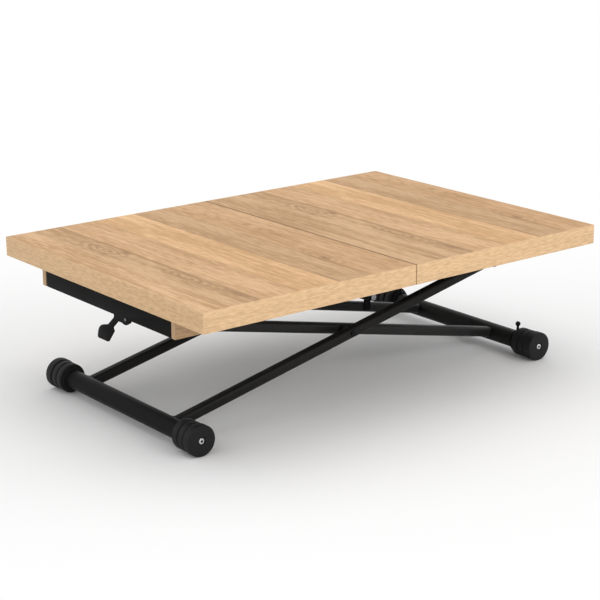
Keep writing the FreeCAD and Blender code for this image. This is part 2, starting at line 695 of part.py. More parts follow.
def gas_cylinder():
    """The pressure tube, closed at its lower end, with the eye welded there that hangs it on its pin."""
    start, end = cylinder_span()
    half = EYE_WIDTH / 2
    tube = rod_x(CYLINDER_RADIUS, start, end, 0, 0)
    neck = rod_x(EYE_NECK_RADIUS, 0, start, 0, 0)
    eye = rod_y(EYE_RADIUS, 0, -half, half, 0)
    bore = rod_x(CYLINDER_RADIUS - CYLINDER_WALL, start + CYLINDER_CAP, end, 0, 0)
    hole = rod_y(SPRING_PIN_RADIUS + RUNNING_CLEARANCE, 0, -half, half, 0)
    return place_spring(tube.fuse([neck, eye]).removeSplitter().cut(Part.makeCompound([bore, hole])))


def cylinder_guide():
    """The guide in the upper end of the pressure tube that the rod slides through."""
    _, end = cylinder_span()
    ring = rod_x(CYLINDER_RADIUS - CYLINDER_WALL, end - CYLINDER_CAP, end, 0, 0)
    bore = rod_x(ROD_RADIUS + RUNNING_CLEARANCE, end - CYLINDER_CAP, end, 0, 0)
    return place_spring(ring.cut(bore))


def gas_rod():
    """The polished rod with its piston."""
    start, _ = cylinder_span()
    piston_x = start + CYLINDER_CAP + PISTON_START
    rod_end = spring_length - RELEASE_HEAD_LENGTH / 2
    rod = rod_x(ROD_RADIUS, piston_x, rod_end, 0, 0)
    piston_radius = CYLINDER_RADIUS - CYLINDER_WALL - PISTON_GAP
    piston = rod_x(piston_radius, piston_x, piston_x + PISTON_LENGTH, 0, 0)
    return place_spring(rod.fuse(piston).removeSplitter())


def release_head():
    """The head on the rod that works the valve, with its stud towards the bracket in the box."""
    half = RELEASE_HEAD_LENGTH / 2
    head = block(spring_length - half, spring_length + half, -RELEASE_HEAD_WIDTH / 2, RELEASE_HEAD_WIDTH / 2,
                 -RELEASE_HEAD_HEIGHT / 2, RELEASE_HEAD_HEIGHT / 2)
    upright = [edge for edge in head.Edges if abs(edge.tangentAt(0).y) > 0.5]
    head = head.makeFillet(RELEASE_HEAD_ROUND, upright)
    stud_end = spring_y - (spring_plate_y - SIDE_CLEARANCE)
    stud = rod_y(PIVOT_RADIUS, spring_length, 0, stud_end, 0)
    return place_spring(head.fuse(stud))


def spring_ear():
    """The ear on the far inner leg that carries the gas spring's lower pin."""
    half = EAR_WIDTH / 2
    leg_z = crossing_z - leg_slope * spring_lower_x
    inner_face = INNER_LEG_Y - LEG_SIZE / 2
    ear = block(spring_lower_x - half, spring_lower_x + half, spring_plate_y, inner_face,
                leg_z - EAR_LAP, spring_lower_z)
    ear = ear.fuse(rod_y(half, spring_lower_x, spring_plate_y, inner_face, spring_lower_z))
    hole = rod_y(SPRING_PIN_RADIUS, spring_lower_x, spring_plate_y, inner_face, spring_lower_z)
    return ear.removeSplitter().cut(hole)


def spring_pin():
    """The pin through the ear and the gas spring's eye."""
    inner_face = INNER_LEG_Y - LEG_SIZE / 2
    eye_face = spring_y - EYE_WIDTH / 2 - SIDE_CLEARANCE
    pin = rod_y(SPRING_PIN_RADIUS, spring_lower_x, eye_face, inner_face, spring_lower_z)
    head = rod_y(SPRING_PIN_HEAD_RADIUS, spring_lower_x, eye_face - SPRING_PIN_HEAD_DEPTH, eye_face,
                 spring_lower_z)
    return pin.fuse(head).removeSplitter()


def spring_bracket():
    """The bracket on a cross bar beside the gas spring's upper end, with a foot on the bar and a weld nut."""
    bar_edge = -INNER_BAR_X - BAR_WIDTH / 2
    end_x = -INNER_BAR_X + BAR_WIDTH / 2
    top = bar_top + SPRING_BRACKET_RISE
    plate = block(end_x - SPRING_BRACKET_LENGTH, end_x, spring_plate_y, spring_plate_y + SHEET, bar_top, top)
    drop = block(SPRING_UPPER_X - RELEASE_HEAD_HEIGHT, bar_edge - SHEET,
                 spring_plate_y, spring_plate_y + SHEET, bar_top - SPRING_BRACKET_DROP, bar_top)
    foot = block(bar_edge, end_x, spring_plate_y + SHEET, spring_plate_y + BRACKET_FOOT, bar_top,
                 bar_top + SHEET)
    nut_y = spring_plate_y + SHEET
    nut = hex_y(NUT_ACROSS, SPRING_UPPER_X, nut_y, nut_y + PIVOT_NUT_DEPTH, spring_upper_z)
    return plate.fuse([drop, foot, nut]).removeSplitter()


# Release lever and its cable


def lever_corners():
    """The corners of the release lever about its pivot, as (y, z, radius of the corner's round)."""
    hub = LEVER_HUB_RADIUS
    turn = math.radians(LEVER_NECK_TURN)
    along = (math.cos(turn), -math.sin(turn))
    across = (math.sin(turn) * LEVER_NECK_WIDTH, math.cos(turn) * LEVER_NECK_WIDTH)
    notch = (LEVER_ELBOW + along[0] * LEVER_NECK_LENGTH, -hub + along[1] * LEVER_NECK_LENGTH)
    bulge = (notch[0] - LEVER_NOTCH, notch[1] - LEVER_NOTCH)
    tip = (bulge[0] + LEVER_PADDLE_SHIFT, bulge[1] - LEVER_PADDLE_DROP)
    back = (LEVER_ELBOW + across[0], -hub + across[1])
    neck_end = (back[0] + along[0] * LEVER_NECK_BACK, back[1] + along[1] * LEVER_NECK_BACK)
    arm_z = back[1] - (LEVER_ARM_END - back[0]) * math.tan(turn)
    return [
        (-hub, hub, hub),
        (-hub, -hub, hub),
        (LEVER_ELBOW, -hub, LEVER_BEND_ROUND),
        (notch[0], notch[1], LEVER_NOTCH_ROUND),
        (bulge[0], bulge[1], LEVER_NOTCH_ROUND),
        (tip[0], tip[1], LEVER_CORNER_ROUND),
        (tip[0] + LEVER_PADDLE_END, tip[1], LEVER_CORNER_ROUND),
        (bulge[0] + LEVER_PADDLE_TOP, bulge[1], LEVER_SHOULDER_ROUND),
        (neck_end[0], neck_end[1], LEVER_BEND_ROUND),
        (LEVER_ARM_END, arm_z, LEVER_BEND_ROUND),
        (LEVER_ARM_END, hub, LEVER_CORNER_ROUND),
    ]


def release_lever():
    """A flat sheet lever behind the end plate: a round hub, an arm, a bent neck and a flared paddle."""
    lever = rounded_face(lever_corners()).extrude(X_AXIS * LEVER_SHEET)
    lever.translate(Vector(lever_outer_x, LEVER_PIVOT_Y, lever_pivot_z))
    hole = rod_x(LEVER_BOLT_RADIUS + RUNNING_CLEARANCE, lever_outer_x, lever_outer_x + LEVER_SHEET,
                 LEVER_PIVOT_Y, lever_pivot_z)
    return lever.cut(hole)


def lever_bolt():
    """The bolt that the release lever turns on, with a domed head in front of the plate and a nut behind."""
    front_x = -frame_end_x
    nut_x = lever_outer_x + LEVER_SHEET + SIDE_CLEARANCE
    head = rod_x(LEVER_HEAD_RADIUS, front_x - LEVER_HEAD_DEPTH, front_x, LEVER_PIVOT_Y, lever_pivot_z)
    head = head.makeFillet(LEVER_HEAD_DEPTH / 2, [head.Edges[2]])
    shank = rod_x(LEVER_BOLT_RADIUS, front_x, nut_x, LEVER_PIVOT_Y, lever_pivot_z)
    nut = rod_x(LEVER_NUT_RADIUS, nut_x, nut_x + LEVER_NUT_DEPTH, LEVER_PIVOT_Y, lever_pivot_z)
    return head.fuse([shank, nut]).removeSplitter()


def cable_ends():
    """The start, corner and end of the cable's route, which runs level inside the box."""
    start = Vector(-frame_end_x + SHEET + CABLE_INSET, CABLE_START_Y, cable_z)
    corner = Vector(start.x, spring_y, cable_z)
    end = Vector(-INNER_BAR_X + BAR_WIDTH / 2 - SPRING_BRACKET_LENGTH, spring_y, cable_z)
    return start, corner, end


def release_cable():
    """The sheathed cable from the lever to the gas spring's head, with one wide bend."""
    start, corner, end = cable_ends()
    before = corner - Y_AXIS * CABLE_BEND
    after = corner + X_AXIS * CABLE_BEND
    inward = CABLE_BEND * (1 - math.sqrt(0.5))
    middle = corner + X_AXIS * inward - Y_AXIS * inward
    route = Part.Wire([Part.makeLine(start, before), Part.Arc(before, middle, after).toShape(),
                       Part.makeLine(after, end)])
    section = Part.Wire([Part.makeCircle(CABLE_RADIUS, start, Y_AXIS)])
    return route.makePipeShell([section], True, False)


def cable_stops():
    """The blocks that hold the cable's ends: one on the end plate, one on the gas spring's bracket."""
    start, _, end = cable_ends()
    half = CABLE_STOP_SIZE / 2
    first = block(-frame_end_x + SHEET, start.x + half, start.y - CABLE_STOP_SIZE, start.y, cable_z - half,
                  cable_z + half)
    second = block(end.x, end.x + CABLE_STOP_SIZE, end.y - half, spring_plate_y, cable_z - half,
                   cable_z + half)
    return Part.makeCompound([first, second])


def all_nodes():
    """Every sub-part by its name."""
    nodes = {
        "left_top": half_board(-1),
        "right_top": half_board(1),
        "left_edge_band": edge_band(-1),
        "right_edge_band": edge_band(1),
        "left_slide_guides": slide_guides((-guide_bar_x, -INNER_BAR_X), LEFT_RUNNER_Y),
        "right_slide_guides": slide_guides((INNER_BAR_X, guide_bar_x), RIGHT_RUNNER_Y),
        "lever_end_plate": lever_end_plate(),
        "plain_end_plate": end_plate(1),
        "pivot_cross_bar": cross_bar(-outer_bar_x),
        "left_guide_bar": cross_bar(-guide_bar_x),
        "spring_cross_bar": cross_bar(-INNER_BAR_X),
        "middle_guide_bar": cross_bar(INNER_BAR_X),
        "right_guide_bar": cross_bar(guide_bar_x),
        "channel_cross_bar": cross_bar(outer_bar_x),
        "frame_screws": frame_screws(),
        "pivot_brackets": pivot_brackets(),
        "pivot_pins": pivot_pins(),
        "left_floor_tube": floor_tube(-AXLE_X),
        "right_floor_tube": floor_tube(AXLE_X),
        "left_tube_plugs": tube_plugs(-AXLE_X),
        "right_tube_plugs": tube_plugs(AXLE_X),
        "left_axle_bolts": axle_bolts(-AXLE_X),
        "right_axle_bolts": axle_bolts(AXLE_X),
        "outer_leg_caps": leg_caps(-AXLE_X, 1, OUTER_LEG_Y),
        "inner_leg_caps": leg_caps(AXLE_X, -1, INNER_LEG_Y),
        "inner_top_tube": inner_top_tube(),
        "crossing_bolts": crossing_bolts(),
        "crossing_spacers": crossing_spacers(),
        "roller_bolts": roller_bolts(),
        "gas_cylinder": gas_cylinder(),
        "cylinder_guide": cylinder_guide(),
        "gas_rod": gas_rod(),
        "release_head": release_head(),
        "spring_ear": spring_ear(),
        "spring_pin": spring_pin(),
        "spring_bracket": spring_bracket(),
        "release_lever": release_lever(),
        "lever_bolt": lever_bolt(),
        "release_cable": release_cable(),
        "cable_stops": cable_stops(),
    }
    for side, sign in SIDES:
        nodes["side_rail_" + side] = side_rail(sign)
        nodes["left_runner_" + side] = slide_runner(-1, sign * LEFT_RUNNER_Y)
        nodes["right_runner_" + side] = slide_runner(1, sign * RIGHT_RUNNER_Y)
        nodes["roller_channel_" + side] = on_side(roller_channel(), sign)
        nodes["roller_" + side] = roller(sign)
        nodes["outer_leg_" + side] = on_side(outer_leg(), sign)
        nodes["inner_leg_" + side] = on_side(inner_leg(), sign)
        nodes["left_wheel_" + side] = wheel(-AXLE_X, sign)
        nodes["right_wheel_" + side] = wheel(AXLE_X, sign)
        nodes["brake_lever_" + side] = brake_lever(sign)
    return nodes


os.makedirs("parts", exist_ok=True)
for name, shape in all_nodes().items():
    shape.exportStep(os.path.join("parts", name + ".step"))
    print(name, "solids", len(shape.Solids), "volume", round(shape.Volume), "valid", shape.isValid())
print("crossing at", round(crossing_z, 3), "upper pivots at", round(upper_pivot_z, 3))
print("leg angle", round(leg_angle, 4), "gas spring", round(spring_length, 3), "at", round(spring_angle, 4))
print("gas spring's lower pin", round(spring_lower_x, 3), round(spring_y, 2), round(spring_lower_z, 3))
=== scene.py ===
"""The convertible coffee and dining table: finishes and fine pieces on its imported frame."""

import logging
import math
from dataclasses import dataclass, field
from enum import Enum
from typing import Iterable, Sequence

import bmesh
import bpy
from mathutils import Matrix, Vector


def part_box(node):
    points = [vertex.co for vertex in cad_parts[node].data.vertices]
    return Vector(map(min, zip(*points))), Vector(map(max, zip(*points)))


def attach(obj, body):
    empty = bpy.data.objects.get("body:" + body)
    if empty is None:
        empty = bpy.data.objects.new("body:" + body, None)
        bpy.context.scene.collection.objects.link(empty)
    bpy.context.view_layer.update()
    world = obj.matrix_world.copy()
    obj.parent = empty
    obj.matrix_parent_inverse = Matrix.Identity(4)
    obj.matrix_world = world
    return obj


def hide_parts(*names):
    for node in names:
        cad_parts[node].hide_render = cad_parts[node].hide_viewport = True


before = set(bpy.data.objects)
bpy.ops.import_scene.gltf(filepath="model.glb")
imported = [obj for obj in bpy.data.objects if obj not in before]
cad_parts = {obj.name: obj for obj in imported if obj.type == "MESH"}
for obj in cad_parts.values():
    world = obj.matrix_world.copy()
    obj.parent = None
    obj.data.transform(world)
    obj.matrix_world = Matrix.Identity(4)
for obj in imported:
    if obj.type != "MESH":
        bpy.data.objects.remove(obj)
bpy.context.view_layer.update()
log = logging.getLogger("table")

Colour = tuple[float, float, float]
Point = tuple[float, float, float]
Pair = tuple[float, float]
Names = tuple[str, ...]
Node = bpy.types.Node
Socket = bpy.types.NodeSocket
Material = bpy.types.Material
Shape = bmesh.types.BMesh
Vert = bmesh.types.BMVert

QUARTER_TURN = math.pi / 2
FULL_TURN = 2 * math.pi
NOISE_MIDDLE = 0.5
ROUND_PROFILE = 0.5
SHEEN_SPAN = (0.3, 0.7)


class Choice(Enum):
    """A choice whose name is part of the names of pieces."""

    @property
    def word(self) -> str:
        """The choice as the names spell it."""
        return self.name.lower()


class End(Choice):
    """The two ends of the table, by the sign of X."""

    LEFT = -1
    RIGHT = 1


class Side(Choice):
    """The two long sides of the table, by the sign of Y."""

    NEAR = -1
    FAR = 1


# Node trees


@dataclass(frozen=True)
class Layer:
    """A layer of noise: its cells per metre, finer steps, shares in tone and relief, and distortion."""

    cells: Point
    detail: float
    share: float = 1.0
    relief: float = 0.0
    distortion: float = 0.0


class NodeSheet:
    """A node tree, with short calls for what materials and growing trees share."""

    def __init__(self, tree: bpy.types.NodeTree) -> None:
        """Take the tree to draw in."""
        self.tree = tree

    def put(self, value: object, target: Socket) -> None:
        """Link a socket, or set a plain value.

        Args:
            value: A socket, or the value itself.
            target: The input that takes it.
        """
        if isinstance(value, Socket):
            self.tree.links.new(value, target)
        else:
            target.default_value = value

    def fill(self, node: Node, **inputs: object) -> Node:
        """Fill a node's inputs.

        Args:
            node: The node.
            inputs: Sockets or plain values, by the input's name with spaces as underscores.

        Returns:
            The same node.
        """
        for word, value in inputs.items():
            self.put(value, node.inputs[word.replace("_", " ")])
        return node

    def add(self, kind: str, **inputs: object) -> Node:
        """Add a node and fill its inputs."""
        return self.fill(self.tree.nodes.new(kind), **inputs)

    def out(self, kind: str, **inputs: object) -> Socket:
        """Add a node, fill its inputs and take its first output."""
        return self.add(kind, **inputs).outputs[0]

    def math(self, operation: str, *values: object, clamp: bool = False) -> Socket:
        """Add a Math node.

        Args:
            operation: The node's operation.
            values: Its inputs, in order.
            clamp: Whether the result stays between 0 and 1.

        Returns:
            The result's socket.
        """
        node = self.add("ShaderNodeMath")
        node.operation = operation
        node.use_clamp = clamp
        for value, target in zip(values, node.inputs):
            self.put(value, target)
        return node.outputs[0]

    def vector(self, x: object = 0.0, y: object = 0.0, z: object = 0.0) -> Socket:
        """Join three numbers into a vector."""
        return self.out("ShaderNodeCombineXYZ", X=x, Y=y, Z=z)


class MaterialSheet(NodeSheet):
    """A material's node tree, with one principled surface."""

    def __init__(self, name: str) -> None:
        """Start a material with an empty surface.

        Args:
            name: The material's name.
        """
        self.material = bpy.data.materials.new(name)
        self.material.use_nodes = True
        super().__init__(self.material.node_tree)
        self.tree.nodes.clear()
        self.output = self.add("ShaderNodeOutputMaterial")
        self.surface = self.add("ShaderNodeBsdfPrincipled")
        self.put(self.surface.outputs[0], self.output.inputs[0])
        coordinates = self.add("ShaderNodeTexCoord")
        self.place = coordinates.outputs["Object"]
        self.normal = coordinates.outputs["Normal"]

    def parts(self, vector: Socket) -> list[Socket]:
        """Split a vector into its three numbers."""
        return list(self.add("ShaderNodeSeparateXYZ", Vector=vector).outputs)

    def length(self, x: Socket, y: Socket) -> Socket:
        """Measure how far a place on a plane is from its origin."""
        return self.math("SQRT", self.math("MULTIPLY_ADD", x, x, self.math("MULTIPLY", y, y)))

    def noise(self, vector: Socket, layer: Layer) -> Socket:
        """Add a layer of noise, about 0.5 on average."""
        place = self.out("ShaderNodeMapping", Vector=vector, Scale=layer.cells)
        return self.out("ShaderNodeTexNoise", Vector=place, Scale=1.0, Detail=layer.detail,
                        Distortion=layer.distortion)

    def weigh(self, noises: Sequence[Socket], shares: Iterable[float]) -> object:
        """Add noises up by their shares.

        Args:
            noises: The noises.
            shares: Their shares, in the same order.

        Returns:
            The sum, about 0 on average.
        """
        total: object = 0.0
        for noise, share in zip(noises, shares):
            if share:
                total = self.math("MULTIPLY_ADD", self.math("SUBTRACT", noise, NOISE_MIDDLE), share, total)
        return total

    def span(self, value: object, ends: Sequence[object], becomes: Pair = (0.0, 1.0)) -> Socket:
        """Map a range smoothly onto another.

        Args:
            value: The number to map.
            ends: Where the range starts and ends.
            becomes: What its two ends become.

        Returns:
            The mapped number.
        """
        node = self.add("ShaderNodeMapRange")
        node.interpolation_type = "SMOOTHSTEP"
        for wanted, target in zip((value, *ends, *becomes), node.inputs):
            self.put(wanted, target)
        return node.outputs[0]

    def mix(self, factor: object, first: object, second: object, blend: str = "MIX") -> Socket:
        """Mix two colours.

        Args:
            factor: How much of the second one shows.
            first: A colour or its socket.
            second: A colour or its socket.
            blend: The way of mixing.

        Returns:
            The mixed colour.
        """
        node = self.add("ShaderNodeMix")
        node.data_type = "RGBA"
        node.blend_type = blend
        self.put(factor, node.inputs[0])
        for value, target in ((first, node.inputs[6]), (second, node.inputs[7])):
            self.put(value if isinstance(value, Socket) else (*value, 1.0), target)
        return node.outputs[2]

    def finish(self, colour: Socket, roughness: Socket, specular: float, relief: object,
               depth: float) -> Material:
        """Give the surface its looks.

        Args:
            colour: Its colour.
            roughness: Its roughness.
            specular: Its specular level.
            relief: The height of its relief.
            depth: What a height of 1 is in metres.

        Returns:
            The finished material.
        """
        bump = self.out("ShaderNodeBump", Strength=1.0, Distance=depth, Height=relief)
        self.fill(self.surface, Base_Color=colour, Roughness=roughness, Specular_IOR_Level=specular,
                  Normal=bump)
        return self.material


# Finishes


@dataclass(frozen=True)
class Plank:
    """One plank of the decor: where it ends in the repeat, its tone, its streaks and its far seam."""

    end: float
    tone: Colour
    streak: float
    seam: float


@dataclass(frozen=True)
class Oval:
    """A whorl or a knot: its centre and half sizes in the repeat, and how dark it is."""

    centre: Pair
    size: Pair
    depth: float

    def away(self, sheet: MaterialSheet, u: Socket, y: Socket) -> Socket:
        """Measure how many times its size a place is from its centre.

        Args:
            sheet: The node tree.
            u: The place along the repeat.
            y: The place across the table.

        Returns:
            The distance.
        """
        across = sheet.math("DIVIDE", sheet.math("SUBTRACT", u, self.centre[0]), self.size[0])
        along = sheet.math("DIVIDE", sheet.math("SUBTRACT", y, self.centre[1]), self.size[1])
        return sheet.length(across, along)


@dataclass(frozen=True)
class OakDecor:
    """Oak planks across the top, printed with a repeat that is a little longer than one half."""

    name: str = "oak_decor"
    repeat: float = 0.527
    planks: tuple[Plank, ...] = (
        Plank(0.154, (0.584, 0.367, 0.195), 1.10, 0.80),
        Plank(0.244, (0.655, 0.406, 0.214), 1.00, 0.60),
        Plank(0.337, (0.766, 0.477, 0.246), 0.90, 0.50),
        Plank(0.414, (0.573, 0.358, 0.191), 0.90, 0.50),
        Plank(0.527, (0.628, 0.388, 0.203), 1.00, 0.0),
    )
    plank_shift: Pair = (3.17, 1.31)
    layers: tuple[Layer, ...] = (
        Layer((15.0, 2.2, 1.0), 3.0, 0.60, distortion=0.5),
        Layer((60.0, 2.0, 1.0), 3.0, 0.44, distortion=0.2),
        Layer((130.0, 5.0, 1.0), 4.0, 0.36),
        Layer((300.0, 26.0, 1.0), 4.0, 0.70),
    )
    light_span: Pair = (-0.17, 0.17)
    streak_dark: Colour = (0.775, 0.73, 0.665)
    streak_light: Colour = (1.115, 1.135, 1.155)
    # Painted highlight: the top is made lighter towards its left end.
    painted_highlight_strip: Pair = (-0.425, -0.462)
    painted_highlight_gain: Colour = (1.15, 1.155, 1.17)
    pores: Layer = Layer((480.0, 40.0, 1.0), 1.0)
    pore_span: Pair = (0.58, 0.74)
    pore_strength: float = 0.32
    pore_relief: float = 0.6
    pore_dark: Colour = (0.300, 0.165, 0.075)
    seam_width: Pair = (0.0016, 0.00032)
    seam_break: Pair = (0.30, 0.55)
    seam_worn: float = 0.55
    # Dark for the printed seams between planks, and painted shade in the gap between the two halves.
    seam_print_and_gap_shade: Colour = (0.215, 0.112, 0.048)
    # Painted shade: where the gap's shade starts and where it is full, from the halves' inner edge.
    gap_shade_edge: Pair = (0.0030, 0.0018)
    wander_shares: Pair = (0.6, 0.4)
    ring_wander: float = 1.5
    ring_curve: float = 0.8
    ring_count: float = 17.0
    ring_sharpness: float = 1.8
    ring_reach: Pair = (2.2, 0.5)
    ring_strength: float = 0.62
    whorls: tuple[Oval, ...] = (
        Oval((0.126, 0.132), (0.023, 0.062), 1.0),
        Oval((0.136, -0.140), (0.016, 0.058), 0.9),
        Oval((0.146, -0.300), (0.009, 0.060), 0.8),
        Oval((0.199, 0.020), (0.016, 0.110), 0.5),
        Oval((0.467, 0.150), (0.018, 0.100), 0.5),
        Oval((0.427, -0.190), (0.013, 0.048), 0.7),
    )
    knot_wander: float = 2.2
    knot_reach: Pair = (1.8, 0.2)
    knots: tuple[Oval, ...] = (
        Oval((0.4235, -0.197), (0.0060, 0.0135), 0.85),
        Oval((0.1430, 0.0815), (0.0055, 0.0150), 0.75),
        Oval((0.1460, -0.2950), (0.0055, 0.0420), 0.80),
        Oval((0.3420, -0.3000), (0.0024, 0.0400), 0.55),
    )
    backing: Colour = (0.52, 0.515, 0.505)
    underside: float = -0.5
    rough_span: Pair = (-0.2, 0.2)
    roughness: Pair = (0.66, 0.56)
    specular: float = 0.22
    relief_depth: float = 0.00005

    def swirls(self, sheet: MaterialSheet, u: Socket, y: Socket, wander: Socket) -> object:
        """Draw the growth rings round each whorl.

        Args:
            sheet: The node tree.
            u: The place along the repeat.
            y: The place across the table.
            wander: A number about 0 that makes the rings uneven.

        Returns:
            How dark the rings are.
        """
        total: object = 0.0
        for whorl in self.whorls:
            away = sheet.math("MULTIPLY_ADD", wander, self.ring_wander, whorl.away(sheet, u, y))
            turns = sheet.math("MULTIPLY", sheet.math("POWER", away, self.ring_curve), self.ring_count)
            wave = sheet.math("MULTIPLY_ADD", sheet.math("SINE", turns), 0.5, 0.5)
            line = sheet.math("POWER", wave, self.ring_sharpness)
            dark = sheet.span(away, self.ring_reach, (0.0, whorl.depth))
            total = sheet.math("MULTIPLY_ADD", line, dark, total)
        return total

    def seams(self, sheet: MaterialSheet, u: Socket) -> object:
        """Draw the fine dark line between two planks.

        Args:
            sheet: The node tree.
            u: The place along the repeat.

        Returns:
            How dark the line is.
        """
        line: object = 0.0
        for plank in self.planks:
            away = sheet.math("ABSOLUTE", sheet.math("SUBTRACT", u, plank.end))
            line = sheet.math("MAXIMUM", sheet.span(away, self.seam_width, (0.0, plank.seam)), line)
        return line

    def material(self) -> Material:
        """Make the decor: planks, streaks, whorls, pores, knots and printed seams, a painted highlight at the
        left end, painted shade in the gap between the halves, and a plain backing underneath.

        Returns:
            The material.
        """
        sheet = MaterialSheet(self.name)
        x, y, _ = sheet.parts(sheet.place)
        u = sheet.math("WRAP", x, self.repeat, 0.0)
        tone: object = self.planks[0].tone
        strength: object = self.planks[0].streak
        count: object = 0.0
        for before, plank in zip(self.planks, self.planks[1:]):
            beyond = sheet.math("GREATER_THAN", u, before.end)
            count = sheet.math("ADD", beyond, count)
            tone = sheet.mix(beyond, tone, plank.tone)
            strength = sheet.math("MULTIPLY_ADD", beyond, plank.streak - before.streak, strength)
        shifts = zip(self.plank_shift, (u, y))
        own = sheet.vector(*[sheet.math("MULTIPLY_ADD", count, shift, at) for shift, at in shifts])
        noises = [sheet.noise(own, layer) for layer in self.layers]
        _, _, streak, fine = noises
        light = sheet.math("MULTIPLY", sheet.weigh(noises, [layer.share for layer in self.layers]), strength)
        shade = sheet.mix(sheet.span(light, self.light_span), self.streak_dark, self.streak_light)
        colour = sheet.mix(1.0, tone, shade, "MULTIPLY")
        # Painted highlight towards the left end of the top.
        pale = sheet.mix(1.0, colour, self.painted_highlight_gain, "MULTIPLY")
        colour = sheet.mix(sheet.span(x, self.painted_highlight_strip), colour, pale)
        rings = self.swirls(sheet, u, y, sheet.weigh(noises, self.wander_shares))
        rings = sheet.math("MULTIPLY", rings, self.ring_strength, clamp=True)
        colour = sheet.mix(rings, colour, self.pore_dark)
        pore = sheet.span(sheet.noise(own, self.pores), self.pore_span)
        colour = sheet.mix(sheet.math("MULTIPLY", pore, self.pore_strength), colour, self.pore_dark)
        shift = sheet.weigh([streak], [self.knot_wander])
        for knot in self.knots:
            away = sheet.math("ADD", shift, knot.away(sheet, u, y))
            colour = sheet.mix(sheet.span(away, self.knot_reach, (0.0, knot.depth)), colour, self.pore_dark)
        seam = self.seams(sheet, u)
        broken = sheet.math("MULTIPLY", seam, sheet.span(streak, self.seam_break, (1.0, self.seam_worn)))
        # Painted shade in the gap where the two halves meet, laid on like the printed seams.
        gap_shade = sheet.span(sheet.math("ABSOLUTE", x), self.gap_shade_edge)
        for dark in (broken, gap_shade):
            colour = sheet.mix(dark, colour, self.seam_print_and_gap_shade)
        underneath = sheet.math("LESS_THAN", sheet.parts(sheet.normal)[2], self.underside)
        colour = sheet.mix(underneath, colour, self.backing)
        rough = sheet.span(light, self.rough_span, self.roughness)
        relief = sheet.math("SUBTRACT", fine, sheet.math("MULTIPLY_ADD", pore, self.pore_relief, seam))
        return sheet.finish(colour, rough, self.specular, relief, self.relief_depth)


class GrainRun(Enum):
    """Which way straight grain runs on a piece."""

    ALONG_TABLE = "along the table"
    ROUND_THE_EDGE = "round the edge"


@dataclass(frozen=True)
class StraightGrain:
    """Timber with a speckled cut end, or an edge band of oak decor, with straight grain along it."""

    name: str
    light: Colour
    dark: Colour
    run: GrainRun
    cut_end: Colour = (0.66, 0.47, 0.30)
    roughness: float = 0.55
    layers: tuple[Layer, ...] = (
        Layer((2.3, 60.0, 1.0), 3.0, 0.16, distortion=0.3),
        Layer((5.0, 330.0, 1.0), 3.0, 0.16),
        Layer((22.0, 1300.0, 1.0), 2.0, 0.12),
        Layer((56.0, 300.0, 1.0), 3.0, 0.56),
    )
    tone_span: Pair = (-0.11, 0.11)
    end_facing: float = 0.7
    up_facing: float = 0.5
    face_slant: float = 0.7
    speckle: Layer = Layer((620.0, 620.0, 620.0), 2.0)
    speckle_span: Pair = (0.36, 0.66)
    # Painted shade in the gap between the two halves: its half width, how much wider it is on top, where it
    # is full, and its colour.
    gap_shade_half_width: float = 0.0016
    gap_shade_top_extra: float = 0.0014
    gap_shade_core: float = 0.5
    gap_shade_dark: Colour = (0.16, 0.085, 0.038)
    # Painted shade on the band's faces that look along the table.
    painted_end_shade: Colour = (0.92, 0.92, 0.91)
    sheen: Pair = (0.06, -0.05)
    specular: float = 0.22
    relief_depth: float = 0.00005

    def material(self) -> Material:
        """Make the grain along the piece, and its speckled cut ends, or painted shade on its end faces and in
        the gap between the halves.

        Returns:
            The material.
        """
        sheet = MaterialSheet(self.name)
        x, y, z = sheet.parts(sheet.place)
        facing_x, _, facing_z = sheet.parts(sheet.normal)
        facing_end = sheet.math("GREATER_THAN", sheet.math("ABSOLUTE", facing_x), self.end_facing)
        if self.run is GrainRun.ROUND_THE_EDGE:
            along = sheet.math("MULTIPLY_ADD", sheet.math("SUBTRACT", y, x), facing_end, x)
            own = sheet.vector(along, z)
        else:
            own = sheet.vector(x, sheet.math("MULTIPLY_ADD", y, self.face_slant, z))
        noises = [sheet.noise(own, layer) for layer in self.layers]
        _, streak, fibre, _ = noises
        tone = sheet.weigh(noises, [layer.share for layer in self.layers])
        colour = sheet.mix(sheet.span(tone, self.tone_span), self.dark, self.light)
        if self.run is GrainRun.ROUND_THE_EDGE:
            # Painted shade on the end faces.
            colour = sheet.mix(facing_end, colour, sheet.mix(1.0, colour, self.painted_end_shade, "MULTIPLY"))
            # Painted shade in the gap where the halves meet, wider on top.
            facing_up = sheet.math("GREATER_THAN", facing_z, self.up_facing)
            wide = sheet.math("MULTIPLY_ADD", facing_up, self.gap_shade_top_extra, self.gap_shade_half_width)
            core = sheet.math("MULTIPLY", wide, self.gap_shade_core)
            gap_shade = sheet.span(sheet.math("ABSOLUTE", x), (wide, core))
            gap_shade = sheet.math("SUBTRACT", gap_shade, facing_end, clamp=True)
            colour = sheet.mix(gap_shade, colour, self.gap_shade_dark)
        else:
            speckle = sheet.span(sheet.noise(sheet.place, self.speckle), self.speckle_span)
            colour = sheet.mix(facing_end, colour, sheet.mix(speckle, self.dark, self.cut_end))
        rough = sheet.span(streak, SHEEN_SPAN, [self.roughness + step for step in self.sheen])
        return sheet.finish(colour, rough, self.specular, fibre, self.relief_depth)


